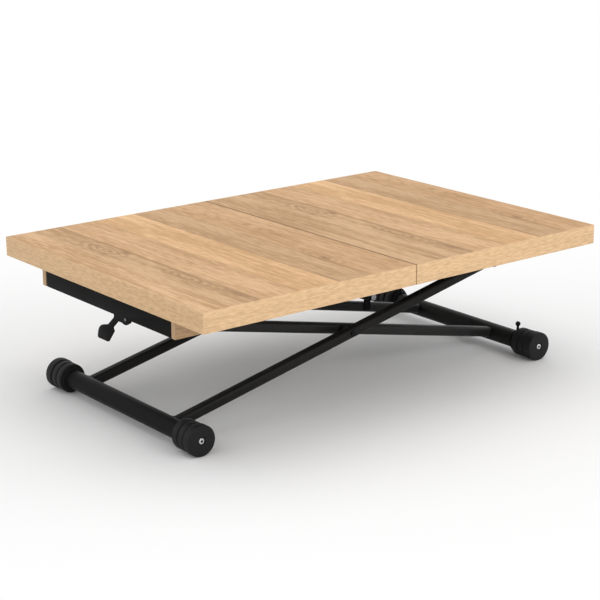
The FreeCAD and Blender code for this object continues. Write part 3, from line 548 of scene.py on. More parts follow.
@dataclass(frozen=True)
class PlainFinish:
    """A finish between two tones, with layers of noise in its tone, its sheen and its relief."""

    name: str
    base: Colour
    worn: Colour
    roughness: float
    specular: float = 0.22
    metallic: float = 0.0
    layers: tuple[Layer, ...] = ()
    tone_span: Pair = (-0.15, 0.15)
    sheen_layer: int = 0
    sheen_ratios: Pair = (1.0, 1.0)
    sheen_steps: Pair = (-0.05, 0.05)
    relief_depth: float = 0.00006

    def material(self) -> Material:
        """Make the finish.

        Returns:
            The material.
        """
        sheet = MaterialSheet(self.name)
        noises = [sheet.noise(sheet.place, layer) for layer in self.layers]
        tone = sheet.weigh(noises, [layer.share for layer in self.layers])
        colour = sheet.mix(sheet.span(tone, self.tone_span), self.base, self.worn)
        sheen = [self.roughness * ratio + step for ratio, step in zip(self.sheen_ratios, self.sheen_steps)]
        rough = sheet.span(noises[self.sheen_layer], SHEEN_SPAN, sheen)
        sheet.fill(sheet.surface, Metallic=self.metallic)
        relief = sheet.weigh(noises, [layer.relief for layer in self.layers])
        return sheet.finish(colour, rough, self.specular, relief, self.relief_depth)


@dataclass(frozen=True)
class PowderCoat(PlainFinish):
    """Powder coat on steel: an even orange-peel relief, and a sheen that varies a little."""

    layers: tuple[Layer, ...] = (
        Layer((9.0, 9.0, 9.0), 4.0, 0.5),
        Layer((900.0, 900.0, 900.0), 2.0, 0.0, 1.0),
        Layer((3200.0, 3200.0, 3200.0), 1.0, 0.5, 0.25),
    )


@dataclass(frozen=True)
class MouldedPlastic(PlainFinish):
    """Moulded plastic with a fine spark-eroded texture."""

    layers: tuple[Layer, ...] = (
        Layer((26.0, 26.0, 26.0), 3.0, 0.6),
        Layer((1500.0, 1500.0, 1500.0), 2.0, 0.4, 1.0),
    )
    tone_span: Pair = (-0.14, 0.18)
    sheen_steps: Pair = (-0.05, 0.06)
    relief_depth: float = 0.00008


@dataclass(frozen=True)
class BareMetal(PlainFinish):
    """Plated, blackened or polished steel with fine marks."""

    specular: float = 0.5
    metallic: float = 1.0
    layers: tuple[Layer, ...] = (
        Layer((70.0, 70.0, 70.0), 3.0, 1.0),
        Layer((2600.0, 900.0, 2600.0), 2.0, 0.0, 1.0),
    )
    tone_span: Pair = (-0.15, 0.18)
    sheen_layer: int = 1
    sheen_ratios: Pair = (0.8, 1.25)
    sheen_steps: Pair = (0.0, 0.0)
    relief_depth: float = 0.00002


def made(kind: type, *values: object, **named: object) -> Material:
    """A field that makes its own finish."""
    return field(default_factory=lambda: kind(*values, **named).material())


@dataclass
class Finishes:
    """Every finish on the table, made once and handed to the sub-assemblies."""

    oak: Material = made(OakDecor)
    oak_edge: Material = made(StraightGrain, "oak_edge_band", (0.822, 0.556, 0.318), (0.656, 0.430, 0.237),
                              GrainRun.ROUND_THE_EDGE)
    # Painted shade: the rails' oak and their cut ends are darkened for the shade under the top.
    oak_rail: Material = made(StraightGrain, "oak_rail", (0.55, 0.352, 0.196), (0.425, 0.258, 0.139),
                              GrainRun.ALONG_TABLE, (0.58, 0.402, 0.250))
    runner: Material = made(StraightGrain, "planed_timber", (0.70, 0.50, 0.31), (0.54, 0.36, 0.21),
                            GrainRun.ALONG_TABLE, roughness=0.62)
    coat: Material = made(PowderCoat, "satin_powder_coat", (0.0050, 0.0051, 0.0053), (0.0076, 0.0077, 0.0080),
                          0.42, 0.062)
    # Painted light: a lighter copy of the frame's black powder coat, for the inner legs where more light
    # falls.
    painted_light_leg_coat: Material = made(PowderCoat, "leg_powder_coat", (0.0150, 0.0148, 0.0144),
                              (0.0205, 0.0202, 0.0197), 0.45, 0.17)
    # Painted shade and light: a copy of the same coat, darker than the inner legs' copy as shade on the outer
    # legs, lighter than coat as light on the tubes in shadow.
    painted_shade_coat: Material = made(PowderCoat, "shade_powder_coat", (0.0112, 0.0108, 0.0101),
                                (0.0150, 0.0145, 0.0136), 0.45, 0.11)
    matt_coat: Material = made(PowderCoat, "matt_powder_coat", (0.0058, 0.0056, 0.0056),
                               (0.0084, 0.0082, 0.0080), 0.55, 0.05)
    plastic: Material = made(MouldedPlastic, "black_moulding", (0.0058, 0.0058, 0.0060),
                             (0.0085, 0.0085, 0.0087), 0.58)
    nylon: Material = made(MouldedPlastic, "turned_nylon", (0.66, 0.64, 0.58), (0.74, 0.72, 0.67), 0.42)
    zinc: Material = made(BareMetal, "zinc_plate", (0.72, 0.72, 0.74), (0.58, 0.58, 0.59), 0.30)
    dull_zinc: Material = made(BareMetal, "dull_zinc_plate", (0.20, 0.20, 0.21), (0.15, 0.15, 0.155), 0.36)
    black_bolt: Material = made(BareMetal, "blackened_steel", (0.024, 0.024, 0.026),
                                (0.016, 0.016, 0.017), 0.46)
    chrome: Material = made(BareMetal, "polished_rod", (0.78, 0.78, 0.80), (0.72, 0.72, 0.74), 0.09,
                            relief_depth=0.000004)


# Shared mesh work


def dress(material: Material, *nodes: str) -> None:
    """Give CAD nodes a finish.

    Args:
        material: The finish.
        nodes: The nodes' names.
    """
    for name in nodes:
        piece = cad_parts[name]
        if not piece.material_slots:
            piece.data.materials.append(material)
        for slot in piece.material_slots:
            slot.material = material
        log.info("%s: %s", name, material.name)


@dataclass(frozen=True)
class Fitting:
    """Where a new piece belongs: its name, its body, the record's slot, which is not used, and the CAD nodes
    it replaces.
    """

    name: str
    body: str
    slot: str
    stands_for: Names = ()

    def place(self, data: bpy.types.Mesh) -> None:
        """Put a finished mesh on its body.

        Args:
            data: The mesh, in place and with its materials.
        """
        piece = bpy.data.objects.new(self.name, data)
        bpy.context.scene.collection.objects.link(piece)
        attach(piece, self.body)
        if self.stands_for:
            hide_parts(*self.stands_for)
        log.info("%s rides on %s", self.name, self.body)

    def finish(self, mesh: Shape, *materials: Material, sharp_deg: float = 38.0) -> None:
        """Turn the faces outwards, shade them smoothly between sharp edges, and place the piece.

        Args:
            mesh: The mesh, which is used up.
            materials: The finishes, in the order of the faces' material numbers.
            sharp_deg: The angle from which an edge stays sharp.
        """
        bmesh.ops.recalc_face_normals(mesh, faces=mesh.faces)
        for face in mesh.faces:
            face.smooth = True
        for edge in mesh.edges:
            edge.smooth = len(edge.link_faces) == 2 and edge.calc_face_angle() < math.radians(sharp_deg)
        data = bpy.data.meshes.new(self.name)
        mesh.to_mesh(data)
        mesh.free()
        for material in materials:
            data.materials.append(material)
        self.place(data)


@dataclass(frozen=True)
class Corner:
    """A corner of an outline: its place, and the radius of its round."""

    u: float
    v: float
    round: float = 0.0


def rounded_outline(corners: Sequence[Corner], steps: int) -> list[Pair]:
    """Round the corners of a closed outline.

    Args:
        corners: The corners in order.
        steps: How many straight pieces make each round.

    Returns:
        The outline's points.
    """
    points: list[Pair] = []
    for i, corner in enumerate(corners):
        if corner.round == 0.0:
            points.append((corner.u, corner.v))
            continue
        here = Vector((corner.u, corner.v))
        before, after = corners[i - 1], corners[(i + 1) % len(corners)]
        back = (Vector((before.u, before.v)) - here).normalized()
        ahead = (Vector((after.u, after.v)) - here).normalized()
        half = back.angle(ahead) / 2
        centre = here + (back + ahead).normalized() * (corner.round / math.sin(half))
        setback = corner.round / math.tan(half)
        start = here + back * setback - centre
        stop = here + ahead * setback - centre
        first = math.atan2(start.y, start.x)
        sweep = math.atan2(start.x * stop.y - start.y * stop.x, start.dot(stop))
        for step in range(steps + 1):
            angle = first + sweep * step / steps
            points.append((centre.x + corner.round * math.cos(angle),
                           centre.y + corner.round * math.sin(angle)))
    return points


@dataclass(frozen=True)
class Ring:
    """One ring of a turned shape: its radius, its place along the axis, and whether it is a hexagon."""

    radius: float
    along: float
    hexagon: bool = False


@dataclass(frozen=True)
class Lathe:
    """Turns rings about an axis that runs along +Z until it is put in its place."""

    place: Matrix
    steps: int = 96

    def loop(self, mesh: Shape, ring: Ring) -> list[Vert]:
        """Make the points of one ring, or the single point of one that lies on the axis.

        Args:
            mesh: The mesh that takes them.
            ring: The ring.

        Returns:
            The points in order.
        """
        if ring.radius == 0.0:
            return [mesh.verts.new(self.place @ Vector((0.0, 0.0, ring.along)))]
        sixth = math.pi / 3
        points = []
        for step in range(self.steps):
            angle = FULL_TURN * step / self.steps
            reach = ring.radius / math.cos(angle % sixth - sixth / 2) if ring.hexagon else ring.radius
            spot = Vector((reach * math.cos(angle), reach * math.sin(angle), ring.along))
            points.append(mesh.verts.new(self.place @ spot))
        return points

    def turn(self, mesh: Shape, rings: Sequence[Ring], closed: bool) -> None:
        """Join the rings one after another. Faces inside a hexagon get material number 1.

        Args:
            mesh: The mesh that takes the faces.
            rings: The profile in order.
            closed: Whether the last ring joins the first, as round a bore.
        """
        loops = [self.loop(mesh, ring) for ring in rings]
        count = len(rings)
        for i in range(count if closed else count - 1):
            following = (i + 1) % count
            first, second = loops[i], loops[following]
            dark = rings[i].hexagon and (rings[following].hexagon or rings[following].radius == 0.0)
            for step in range(self.steps):
                after = (step + 1) % self.steps
                corners = (first[step % len(first)], first[after % len(first)], second[after % len(second)],
                           second[step % len(second)])
                face = mesh.faces.new(tuple(dict.fromkeys(corners)))
                face.material_index = int(dark)


def bridge(mesh: Shape, loop: Sequence[Vert], following: Sequence[Vert]) -> None:
    """Join two closed loops that have as many points.

    Args:
        mesh: The mesh that takes the faces.
        loop: One loop's points.
        following: The other loop's points.
    """
    for i in range(len(loop)):
        after = (i + 1) % len(loop)
        mesh.faces.new((loop[i], loop[after], following[after], following[i]))


def cut_sheet(mesh: Shape, outline: Sequence[Pair], x0: float, x1: float) -> tuple[list[Vert], list[Vert]]:
    """Cut a flat sheet across X.

    Args:
        mesh: The mesh that takes it.
        outline: Its (y, z) points.
        x0: Where one face lies.
        x1: Where the other face lies.

    Returns:
        The points of both faces.
    """
    front = [mesh.verts.new((x0, y, z)) for y, z in outline]
    back = [mesh.verts.new((x1, y, z)) for y, z in outline]
    mesh.faces.new(front)
    mesh.faces.new(list(reversed(back)))
    bridge(mesh, back, front)
    return front, back


def ease_edges(mesh: Shape, radius: float, steps: int = 2, from_deg: float = 50.0) -> None:
    """Round off the sharp edges of a mesh.

    Args:
        mesh: The mesh.
        radius: The round's size.
        steps: How many faces make it.
        from_deg: The angle from which an edge counts as sharp.
    """
    bmesh.ops.recalc_face_normals(mesh, faces=mesh.faces)
    sharp = [edge for edge in mesh.edges if edge.calc_face_angle(0.0) > math.radians(from_deg)]
    bmesh.ops.bevel(mesh, geom=sharp, offset=radius, segments=steps, profile=ROUND_PROFILE, affect="EDGES",
                    clamp_overlap=True)


class GrowingTree(NodeSheet):
    """A Geometry Nodes tree with named sizes, which is run once to give a plain mesh."""

    def __init__(self, name: str, material: Material, **sizes: float) -> None:
        """Start a tree that takes the places as its geometry.

        Args:
            name: The tree's name.
            material: The finish of what it makes.
            sizes: Its named inputs and their values.
        """
        super().__init__(bpy.data.node_groups.new(name, "GeometryNodeTree"))
        self.material = material
        self.values = {}
        sockets = self.tree.interface
        sockets.new_socket("Places", in_out="INPUT", socket_type="NodeSocketGeometry")
        for word, value in sizes.items():
            kind = "NodeSocketInt" if isinstance(value, int) else "NodeSocketFloat"
            self.values[sockets.new_socket(word, in_out="INPUT", socket_type=kind).identifier] = value
        sockets.new_socket("Grown", in_out="OUTPUT", socket_type="NodeSocketGeometry")
        start = self.add("NodeGroupInput")
        self.places = start.outputs[0]
        self.size = {word: start.outputs[word] for word in sizes}

    def block(self, x: Socket, y: Socket, z: Socket, lift: Socket) -> Socket:
        """Make a box of the given sizes and lift it."""
        box = self.out("GeometryNodeMeshCube", Size=self.vector(x, y, z))
        return self.out("GeometryNodeTransform", Geometry=box, Translation=lift)

    def boolean(self, operation: str, body: Socket, tool: Socket) -> Socket:
        """Cut one shape with another.

        Args:
            operation: DIFFERENCE or INTERSECT.
            body: The shape that is cut.
            tool: The shape that cuts it.

        Returns:
            The result's socket.
        """
        node = self.add("GeometryNodeMeshBoolean")
        node.operation = operation
        self.put(tool, node.inputs["Mesh 2"])
        self.put(body, node.inputs["Mesh 1"] if operation == "DIFFERENCE" else node.inputs["Mesh 2"])
        return node.outputs[0]

    def grow(self, made_shape: Socket, places: bpy.types.Mesh) -> bpy.types.Mesh:
        """Finish the tree and run it.

        Args:
            made_shape: The instances that the tree makes.
            places: The points or lines that it starts from.

        Returns:
            A plain mesh with its finish.
        """
        solid = self.out("GeometryNodeRealizeInstances", Geometry=made_shape)
        dressed = self.out("GeometryNodeSetMaterial", Geometry=solid, Material=self.material)
        self.put(dressed, self.add("NodeGroupOutput").inputs[0])
        bed = bpy.data.objects.new(self.tree.name, places)
        bpy.context.scene.collection.objects.link(bed)
        modifier = bed.modifiers.new(self.tree.name, "NODES")
        modifier.node_group = self.tree
        for key, value in self.values.items():
            modifier[key] = value
        grown = bpy.data.meshes.new_from_object(bed.evaluated_get(bpy.context.evaluated_depsgraph_get()))
        bed.modifiers.clear()
        bpy.data.objects.remove(bed)
        return grown


# Sub-assemblies


@dataclass
class Assembly:
    """A part of the table that is built from the shared finishes."""

    finishes: Finishes


@dataclass
class TopHalf(Assembly):
    """One half of the top: a board in its edge band, and two runners under it."""

    end: End
    band_round: float = 0.0009
    round_steps: int = 3

    def build_band(self) -> None:
        """Make the edge band with its outer corners eased, in place of the plain one."""
        word = self.end.word
        outer_low, outer_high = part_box(word + "_edge_band")
        inner_low, inner_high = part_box(word + "_top")
        mesh = bmesh.new()
        rings = []
        bottom, top = outer_low.z, outer_high.z
        for low, high, height in ((outer_low, outer_high, bottom), (outer_low, outer_high, top),
                                  (inner_low, inner_high, top), (inner_low, inner_high, bottom)):
            corners = ((low.x, low.y), (high.x, low.y), (high.x, high.y), (low.x, high.y))
            rings.append([mesh.verts.new((x, y, height)) for x, y in corners])
        for ring, following in zip(rings, rings[1:] + rings[:1]):
            bridge(mesh, ring, following)
        outer = set(rings[0] + rings[1])
        eased = [edge for edge in mesh.edges if set(edge.verts) <= outer]
        bmesh.ops.bevel(mesh, geom=eased, offset=self.band_round, segments=self.round_steps,
                        profile=ROUND_PROFILE, affect="EDGES")
        fitting = Fitting(word + "_band_eased", word + "_half", "oak_edge", (word + "_edge_band",))
        fitting.finish(mesh, self.finishes.oak_edge)

    def build(self) -> None:
        """Dress the half and ease its band."""
        word = self.end.word
        dress(self.finishes.oak, word + "_top")
        dress(self.finishes.runner, word + "_runner_near", word + "_runner_far")
        self.build_band()


@dataclass
class LiftBox(Assembly):
    """The box under the top: rails, plates, bars, slide guides, brackets and screws."""

    bars: Names = ("pivot_cross_bar", "left_guide_bar", "spring_cross_bar", "middle_guide_bar",
                   "right_guide_bar", "channel_cross_bar")
    steel: Names = ("pivot_brackets", "roller_channel_near", "roller_channel_far", "spring_bracket")
    moulded: Names = ("left_slide_guides", "right_slide_guides", "release_cable", "cable_stops")
    sheet: float = 0.003
    bend: float = 0.002
    bend_steps: int = 6
    tab_length: float = 0.030
    edge_round: float = 0.0004
    ear_radius: float = 0.0198
    ear_place: Pair = (-0.066, 0.0073)
    ear_steps: int = 48
    screw_rise: float = 0.014
    screw_radius: float = 0.004
    screw_head: float = 0.0024
    screw_length: float = 0.011
    recess_width: float = 0.0011
    recess_length: float = 0.0042
    dome_segments: int = 24
    dome_rings: int = 12
    shank_sides: int = 16
    shank_share: float = 0.5

    def plate_outline(self, half: float, low: float, high: float, has_ear: bool) -> list[Pair]:
        """Draw an end plate between its bends.

        Args:
            half: Half of its width.
            low: Its lower edge.
            high: Its upper edge.
            has_ear: Whether the lever's ear hangs from its lower edge.

        Returns:
            Its (y, z) points.
        """
        ear: list[Pair] = []
        if has_ear:
            centre_y, drop = self.ear_place
            lift = math.asin(-drop / self.ear_radius)
            for step in range(self.ear_steps + 1):
                angle = math.pi - lift + (math.pi + 2 * lift) * step / self.ear_steps
                ear.append((centre_y + self.ear_radius * math.cos(angle),
                            low + drop + self.ear_radius * math.sin(angle)))
        return [(-half, low), *ear, (half, low), (half, high), (-half, high)]

    def bend_tab(self, mesh: Shape, root: Sequence[Vert], inwards: float) -> None:
        """Bend a tab off the end of a plate and run it out along the rail.

        Args:
            mesh: The plate's mesh, whose end face is replaced.
            root: The end face's points: outer low, outer high, inner high, inner low.
            inwards: The sign of X towards the middle of the table.
        """
        for face in list(root[0].link_faces):
            if all(point in face.verts for point in root):
                mesh.faces.remove(face)
        side = math.copysign(1.0, root[0].co.y)
        centre = Vector((root[2].co.x + inwards * self.bend, root[2].co.y))
        depths = (self.bend + self.sheet, self.bend + self.sheet, self.bend, self.bend)
        heights = [point.co.z for point in root]
        section = list(root)
        stages = [(QUARTER_TURN * step / self.bend_steps, 0.0) for step in range(1, self.bend_steps + 1)]
        stages.append((QUARTER_TURN, self.tab_length - self.bend))
        for angle, run in stages:
            fresh = []
            for depth, height in zip(depths, heights):
                x = centre.x - inwards * depth * math.cos(angle) + inwards * run
                y = centre.y + side * depth * math.sin(angle)
                fresh.append(mesh.verts.new((x, y, height)))
            bridge(mesh, section, fresh)
            section = fresh
        mesh.faces.new(section)

    def build_plate(self, node: str, end: End, has_ear: bool) -> None:
        """Make an end plate with bent tabs and eased edges.

        Args:
            node: The CAD node that it replaces.
            end: The end of the table that it closes.
            has_ear: Whether it carries the lever.
        """
        low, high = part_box(node)
        rail_low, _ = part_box("side_rail_near")
        outer_x = low.x if end is End.LEFT else high.x
        inwards = -float(end.value)
        half = high.y - self.sheet - self.bend
        mesh = bmesh.new()
        outline = self.plate_outline(half, rail_low.z, high.z, has_ear)
        front, back = cut_sheet(mesh, outline, outer_x, outer_x + inwards * self.sheet)
        self.bend_tab(mesh, (front[-3], front[-2], back[-2], back[-3]), inwards)
        self.bend_tab(mesh, (front[0], front[-1], back[-1], back[0]), inwards)
        ease_edges(mesh, self.edge_round)
        Fitting(node + "_bent", "top_frame", "black_steel", (node,)).finish(mesh, self.finishes.matt_coat)

    def screw_places(self) -> list[tuple[Vector, float]]:
        """Find where each screw's head sits.

        Returns:
            The heads' places on the tabs, with the turns that point them into the box.
        """
        rail_low, rail_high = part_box("side_rail_far")
        face_y = rail_low.y - self.sheet
        height = rail_low.z + self.screw_rise
        along = [sum(corner.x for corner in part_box(name)) / 2 for name in self.bars]
        along += [end.value * (rail_high.x - self.sheet - self.tab_length / 2) for end in End]
        return [(Vector((x, side.value * face_y, height)), side.value * QUARTER_TURN)
                for side in Side for x in along]

    def build_screws(self) -> None:
        """Scatter the cross-headed screws that hold the steel to the rails."""
        places = bpy.data.meshes.new("screw_places")
        spots = self.screw_places()
        places.from_pydata([spot for spot, _ in spots], [], [])
        turns = places.attributes.new("turn", "FLOAT_VECTOR", "POINT")
        for i, (_, turn) in enumerate(spots):
            turns.data[i].vector = (turn, 0.0, 0.0)
        tree = GrowingTree("frame_screw_heads", self.finishes.zinc, Head_radius=self.screw_radius,
                           Head_height=self.screw_head, Length=self.screw_length,
                           Recess_width=self.recess_width, Recess_length=self.recess_length)
        radius, height, length, narrow, wide = tree.size.values()
        ball = tree.out("GeometryNodeMeshUVSphere", Segments=self.dome_segments, Rings=self.dome_rings,
                        Radius=1.0)
        dome = tree.out("GeometryNodeTransform", Geometry=ball, Scale=tree.vector(radius, radius, height))
        lift = tree.vector(z=height)
        beyond = tree.math("MULTIPLY", radius, 4.0)
        upper = tree.block(beyond, beyond, tree.math("MULTIPLY", height, 2.0), lift)
        head = tree.boolean("INTERSECT", dome, upper)
        for x, y in ((wide, narrow), (narrow, wide)):
            head = tree.boolean("DIFFERENCE", head, tree.block(x, y, height, lift))
        rod = tree.out("GeometryNodeMeshCylinder", Vertices=self.shank_sides,
                       Radius=tree.math("MULTIPLY", radius, self.shank_share), Depth=length)
        drop = tree.vector(z=tree.math("MULTIPLY", length, -0.5))
        shank = tree.out("GeometryNodeTransform", Geometry=rod, Translation=drop)
        screw = tree.add("GeometryNodeJoinGeometry")
        for shape in (shank, head):
            tree.put(shape, screw.inputs[0])
        named = tree.add("GeometryNodeInputNamedAttribute")
        named.data_type = "FLOAT_VECTOR"
        tree.fill(named, Name="turn")
        turned = tree.out("FunctionNodeEulerToRotation", Euler=named.outputs[0])
        scattered = tree.out("GeometryNodeInstanceOnPoints", Points=tree.places, Instance=screw.outputs[0],
                             Rotation=turned)
        data = tree.grow(scattered, places)
        Fitting("frame_screw_heads", "top_frame", "bright_steel", ("frame_screws",)).place(data)

    def build(self) -> None:
        """Dress the box, and make its plates and screws."""
        # The side rails take the oak with painted shade.
        dress(self.finishes.oak_rail, "side_rail_near", "side_rail_far")
        dress(self.finishes.matt_coat, *self.bars, *self.steel)
        dress(self.finishes.plastic, *self.moulded)
        dress(self.finishes.black_bolt, "pivot_pins")
        dress(self.finishes.dull_zinc, "lever_bolt")
        self.build_plate("lever_end_plate", End.LEFT, True)
        self.build_plate("plain_end_plate", End.RIGHT, False)
        self.build_screws()


@dataclass
class LegFrames(Assembly):
    """The two crossed leg frames with their floor tubes, caps, pivots and weld beads."""

    # Parts that take the copy of the coat with painted shade and light.
    painted_shade_parts: Names = ("outer_leg_near", "outer_leg_far", "right_floor_tube", "inner_top_tube")
    moulded: Names = ("left_tube_plugs", "right_tube_plugs", "inner_leg_caps", "outer_leg_caps",
                      "crossing_spacers")
    leg_size: float = 0.022
    leg_round: float = 0.007
    leg_angle: float = math.radians(12.2506)
    leg_round_steps: int = 8
    bead_pitch: float = 0.0017
    bead_radius: float = 0.0016
    bead_spread: Pair = (0.85, 1.15)
    bead_segments: int = 8
    bead_rings: int = 5
    bead_seed: int = 7
    head_height: float = 0.004
    head_radius: float = 0.006
    head_round: float = 0.0012
    head_low_round: float = 0.0004
    head_round_steps: int = 4
    head_steps: int = 48
    socket_rim: float = 0.003
    socket_flat: float = 0.0025
    socket_depth: float = 0.003
    socket_point: float = 0.00345
    shank_radius: float = 0.004
    shank_length: float = 0.0793

    def foot_path(self, tube: str, leg: str, rises_to: End) -> list[Vector]:
        """Find the line where a leg meets its floor tube.

        Args:
            tube: The floor tube's node.
            leg: The leg's node.
            rises_to: The end of the table that the leg rises to.

        Returns:
            The points of the closed line.
        """
        low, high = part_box(tube)
        axle = (low + high) / 2
        radius = (high.z - low.z) / 2
        leg_low, leg_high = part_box(leg)
        centre_y = (leg_low.y + leg_high.y) / 2
        half = self.leg_size / 2
        places = ((-half, -half), (half, -half), (half, half), (-half, half))
        square = [Corner(u, v, self.leg_round) for u, v in places]
        cosine, sine = math.cos(self.leg_angle), math.sin(self.leg_angle)
        points = []
        for across, rise in rounded_outline(square, self.leg_round_steps):
            reach = math.sqrt(radius ** 2 - rise ** 2)
            x = reach * cosine - rise * sine
            z = reach * sine + rise * cosine
            points.append(Vector((axle.x + rises_to.value * x, centre_y + across, axle.z + z)))
        return points

    def tube_path(self, tube: str, side: Side) -> list[Vector]:
        """Find the line where the top tube meets a leg.

        Args:
            tube: The tube's node.
            side: The side of the table.

        Returns:
            The points of the closed line.
        """
        low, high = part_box(tube)
        centre = (low + high) / 2
        radius = (high.z - low.z) / 2
        y = high.y if side is Side.FAR else low.y
        turns = [FULL_TURN * step / self.head_steps for step in range(self.head_steps)]
        return [Vector((centre.x + radius * math.cos(a), y, centre.z + radius * math.sin(a))) for a in turns]

    def build_welds(self, body: str, paths: Sequence[Sequence[Vector]]) -> None:
        """Lay weld beads along closed lines.

        Args:
            body: The leg frame.
            paths: The lines.
        """
        name = body + "_welds"
        points: list[Vector] = []
        edges: list[tuple[int, int]] = []
        for path in paths:
            first = len(points)
            points.extend(path)
            edges.extend((first + i, first + (i + 1) % len(path)) for i in range(len(path)))
        places = bpy.data.meshes.new(name + "_lines")
        places.from_pydata(points, edges, [])
        tree = GrowingTree(name, self.finishes.coat, Pitch=self.bead_pitch, Bead_radius=self.bead_radius,
                           Seed=self.bead_seed)
        spaced = tree.add("GeometryNodeResampleCurve")
        spaced.mode = "LENGTH"
        line = tree.out("GeometryNodeMeshToCurve", Mesh=tree.places)
        tree.fill(spaced, Curve=line, Length=tree.size["Pitch"])
        bead = tree.out("GeometryNodeMeshUVSphere", Segments=self.bead_segments, Rings=self.bead_rings,
                        Radius=tree.size["Bead_radius"])
        uneven = tree.add("FunctionNodeRandomValue", Seed=tree.size["Seed"])
        uneven.data_type = "FLOAT"
        for word, value in zip(("Min", "Max"), self.bead_spread):
            next(s for s in uneven.inputs if s.name == word and s.type == "VALUE").default_value = value
        scale = next(s for s in uneven.outputs if s.type == "VALUE")
        laid = tree.out("GeometryNodeInstanceOnPoints", Points=spaced.outputs[0], Instance=bead, Scale=scale)
        data = tree.grow(laid, places)
        for polygon in data.polygons:
            polygon.use_smooth = True
        Fitting(name, body, "black_steel").place(data)

    def build_axle_bolts(self, end: End, body: str) -> None:
        """Make the two axle bolts of a floor tube, each with a hexagon socket in its head.

        Args:
            end: The end of the table.
            body: The leg frame.
        """
        node = end.word + "_axle_bolts"
        low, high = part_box(node)
        centre = (low + high) / 2
        profile = rounded_outline([
            Corner(self.shank_radius, -self.shank_length),
            Corner(self.shank_radius, -self.head_height),
            Corner(self.head_radius, -self.head_height, self.head_low_round),
            Corner(self.head_radius, 0.0, self.head_round),
            Corner(self.socket_rim, 0.0),
        ], self.head_round_steps)
        rings = [Ring(0.0, profile[0][1])] + [Ring(radius, along) for radius, along in profile]
        rings += [Ring(self.socket_flat, 0.0, True), Ring(self.socket_flat, -self.socket_depth, True),
                  Ring(0.0, -self.socket_point)]
        mesh = bmesh.new()
        for side in Side:
            turn = Matrix.Rotation(-side.value * QUARTER_TURN, 4, "X")
            place = Matrix.Translation((centre.x, side.value * high.y, centre.z)) @ turn
            Lathe(place, self.head_steps).turn(mesh, rings, False)
        fitting = Fitting(node + "_turned", body, "bright_steel", (node,))
        fitting.finish(mesh, self.finishes.zinc, self.finishes.black_bolt)

    def build(self) -> None:
        """Dress the frames, and make their welds and axle bolts."""
        dress(self.finishes.coat, "left_floor_tube", "spring_ear")
        # Painted light on the inner legs, and painted shade and light on the outer legs and tubes.
        dress(self.finishes.painted_light_leg_coat, "inner_leg_near", "inner_leg_far")
        dress(self.finishes.painted_shade_coat, *self.painted_shade_parts)
        dress(self.finishes.plastic, *self.moulded)
        dress(self.finishes.black_bolt, "crossing_bolts", "roller_bolts")
        dress(self.finishes.zinc, "spring_pin")
        inner = [self.foot_path("right_floor_tube", "inner_leg_" + side.word, End.LEFT) for side in Side]
        inner += [self.tube_path("inner_top_tube", side) for side in Side]
        outer = [self.foot_path("left_floor_tube", "outer_leg_" + side.word, End.RIGHT) for side in Side]
        self.build_welds("inner_frame", inner)
        self.build_welds("outer_frame", outer)
        self.build_axle_bolts(End.LEFT, "outer_frame")
        self.build_axle_bolts(End.RIGHT, "inner_frame")


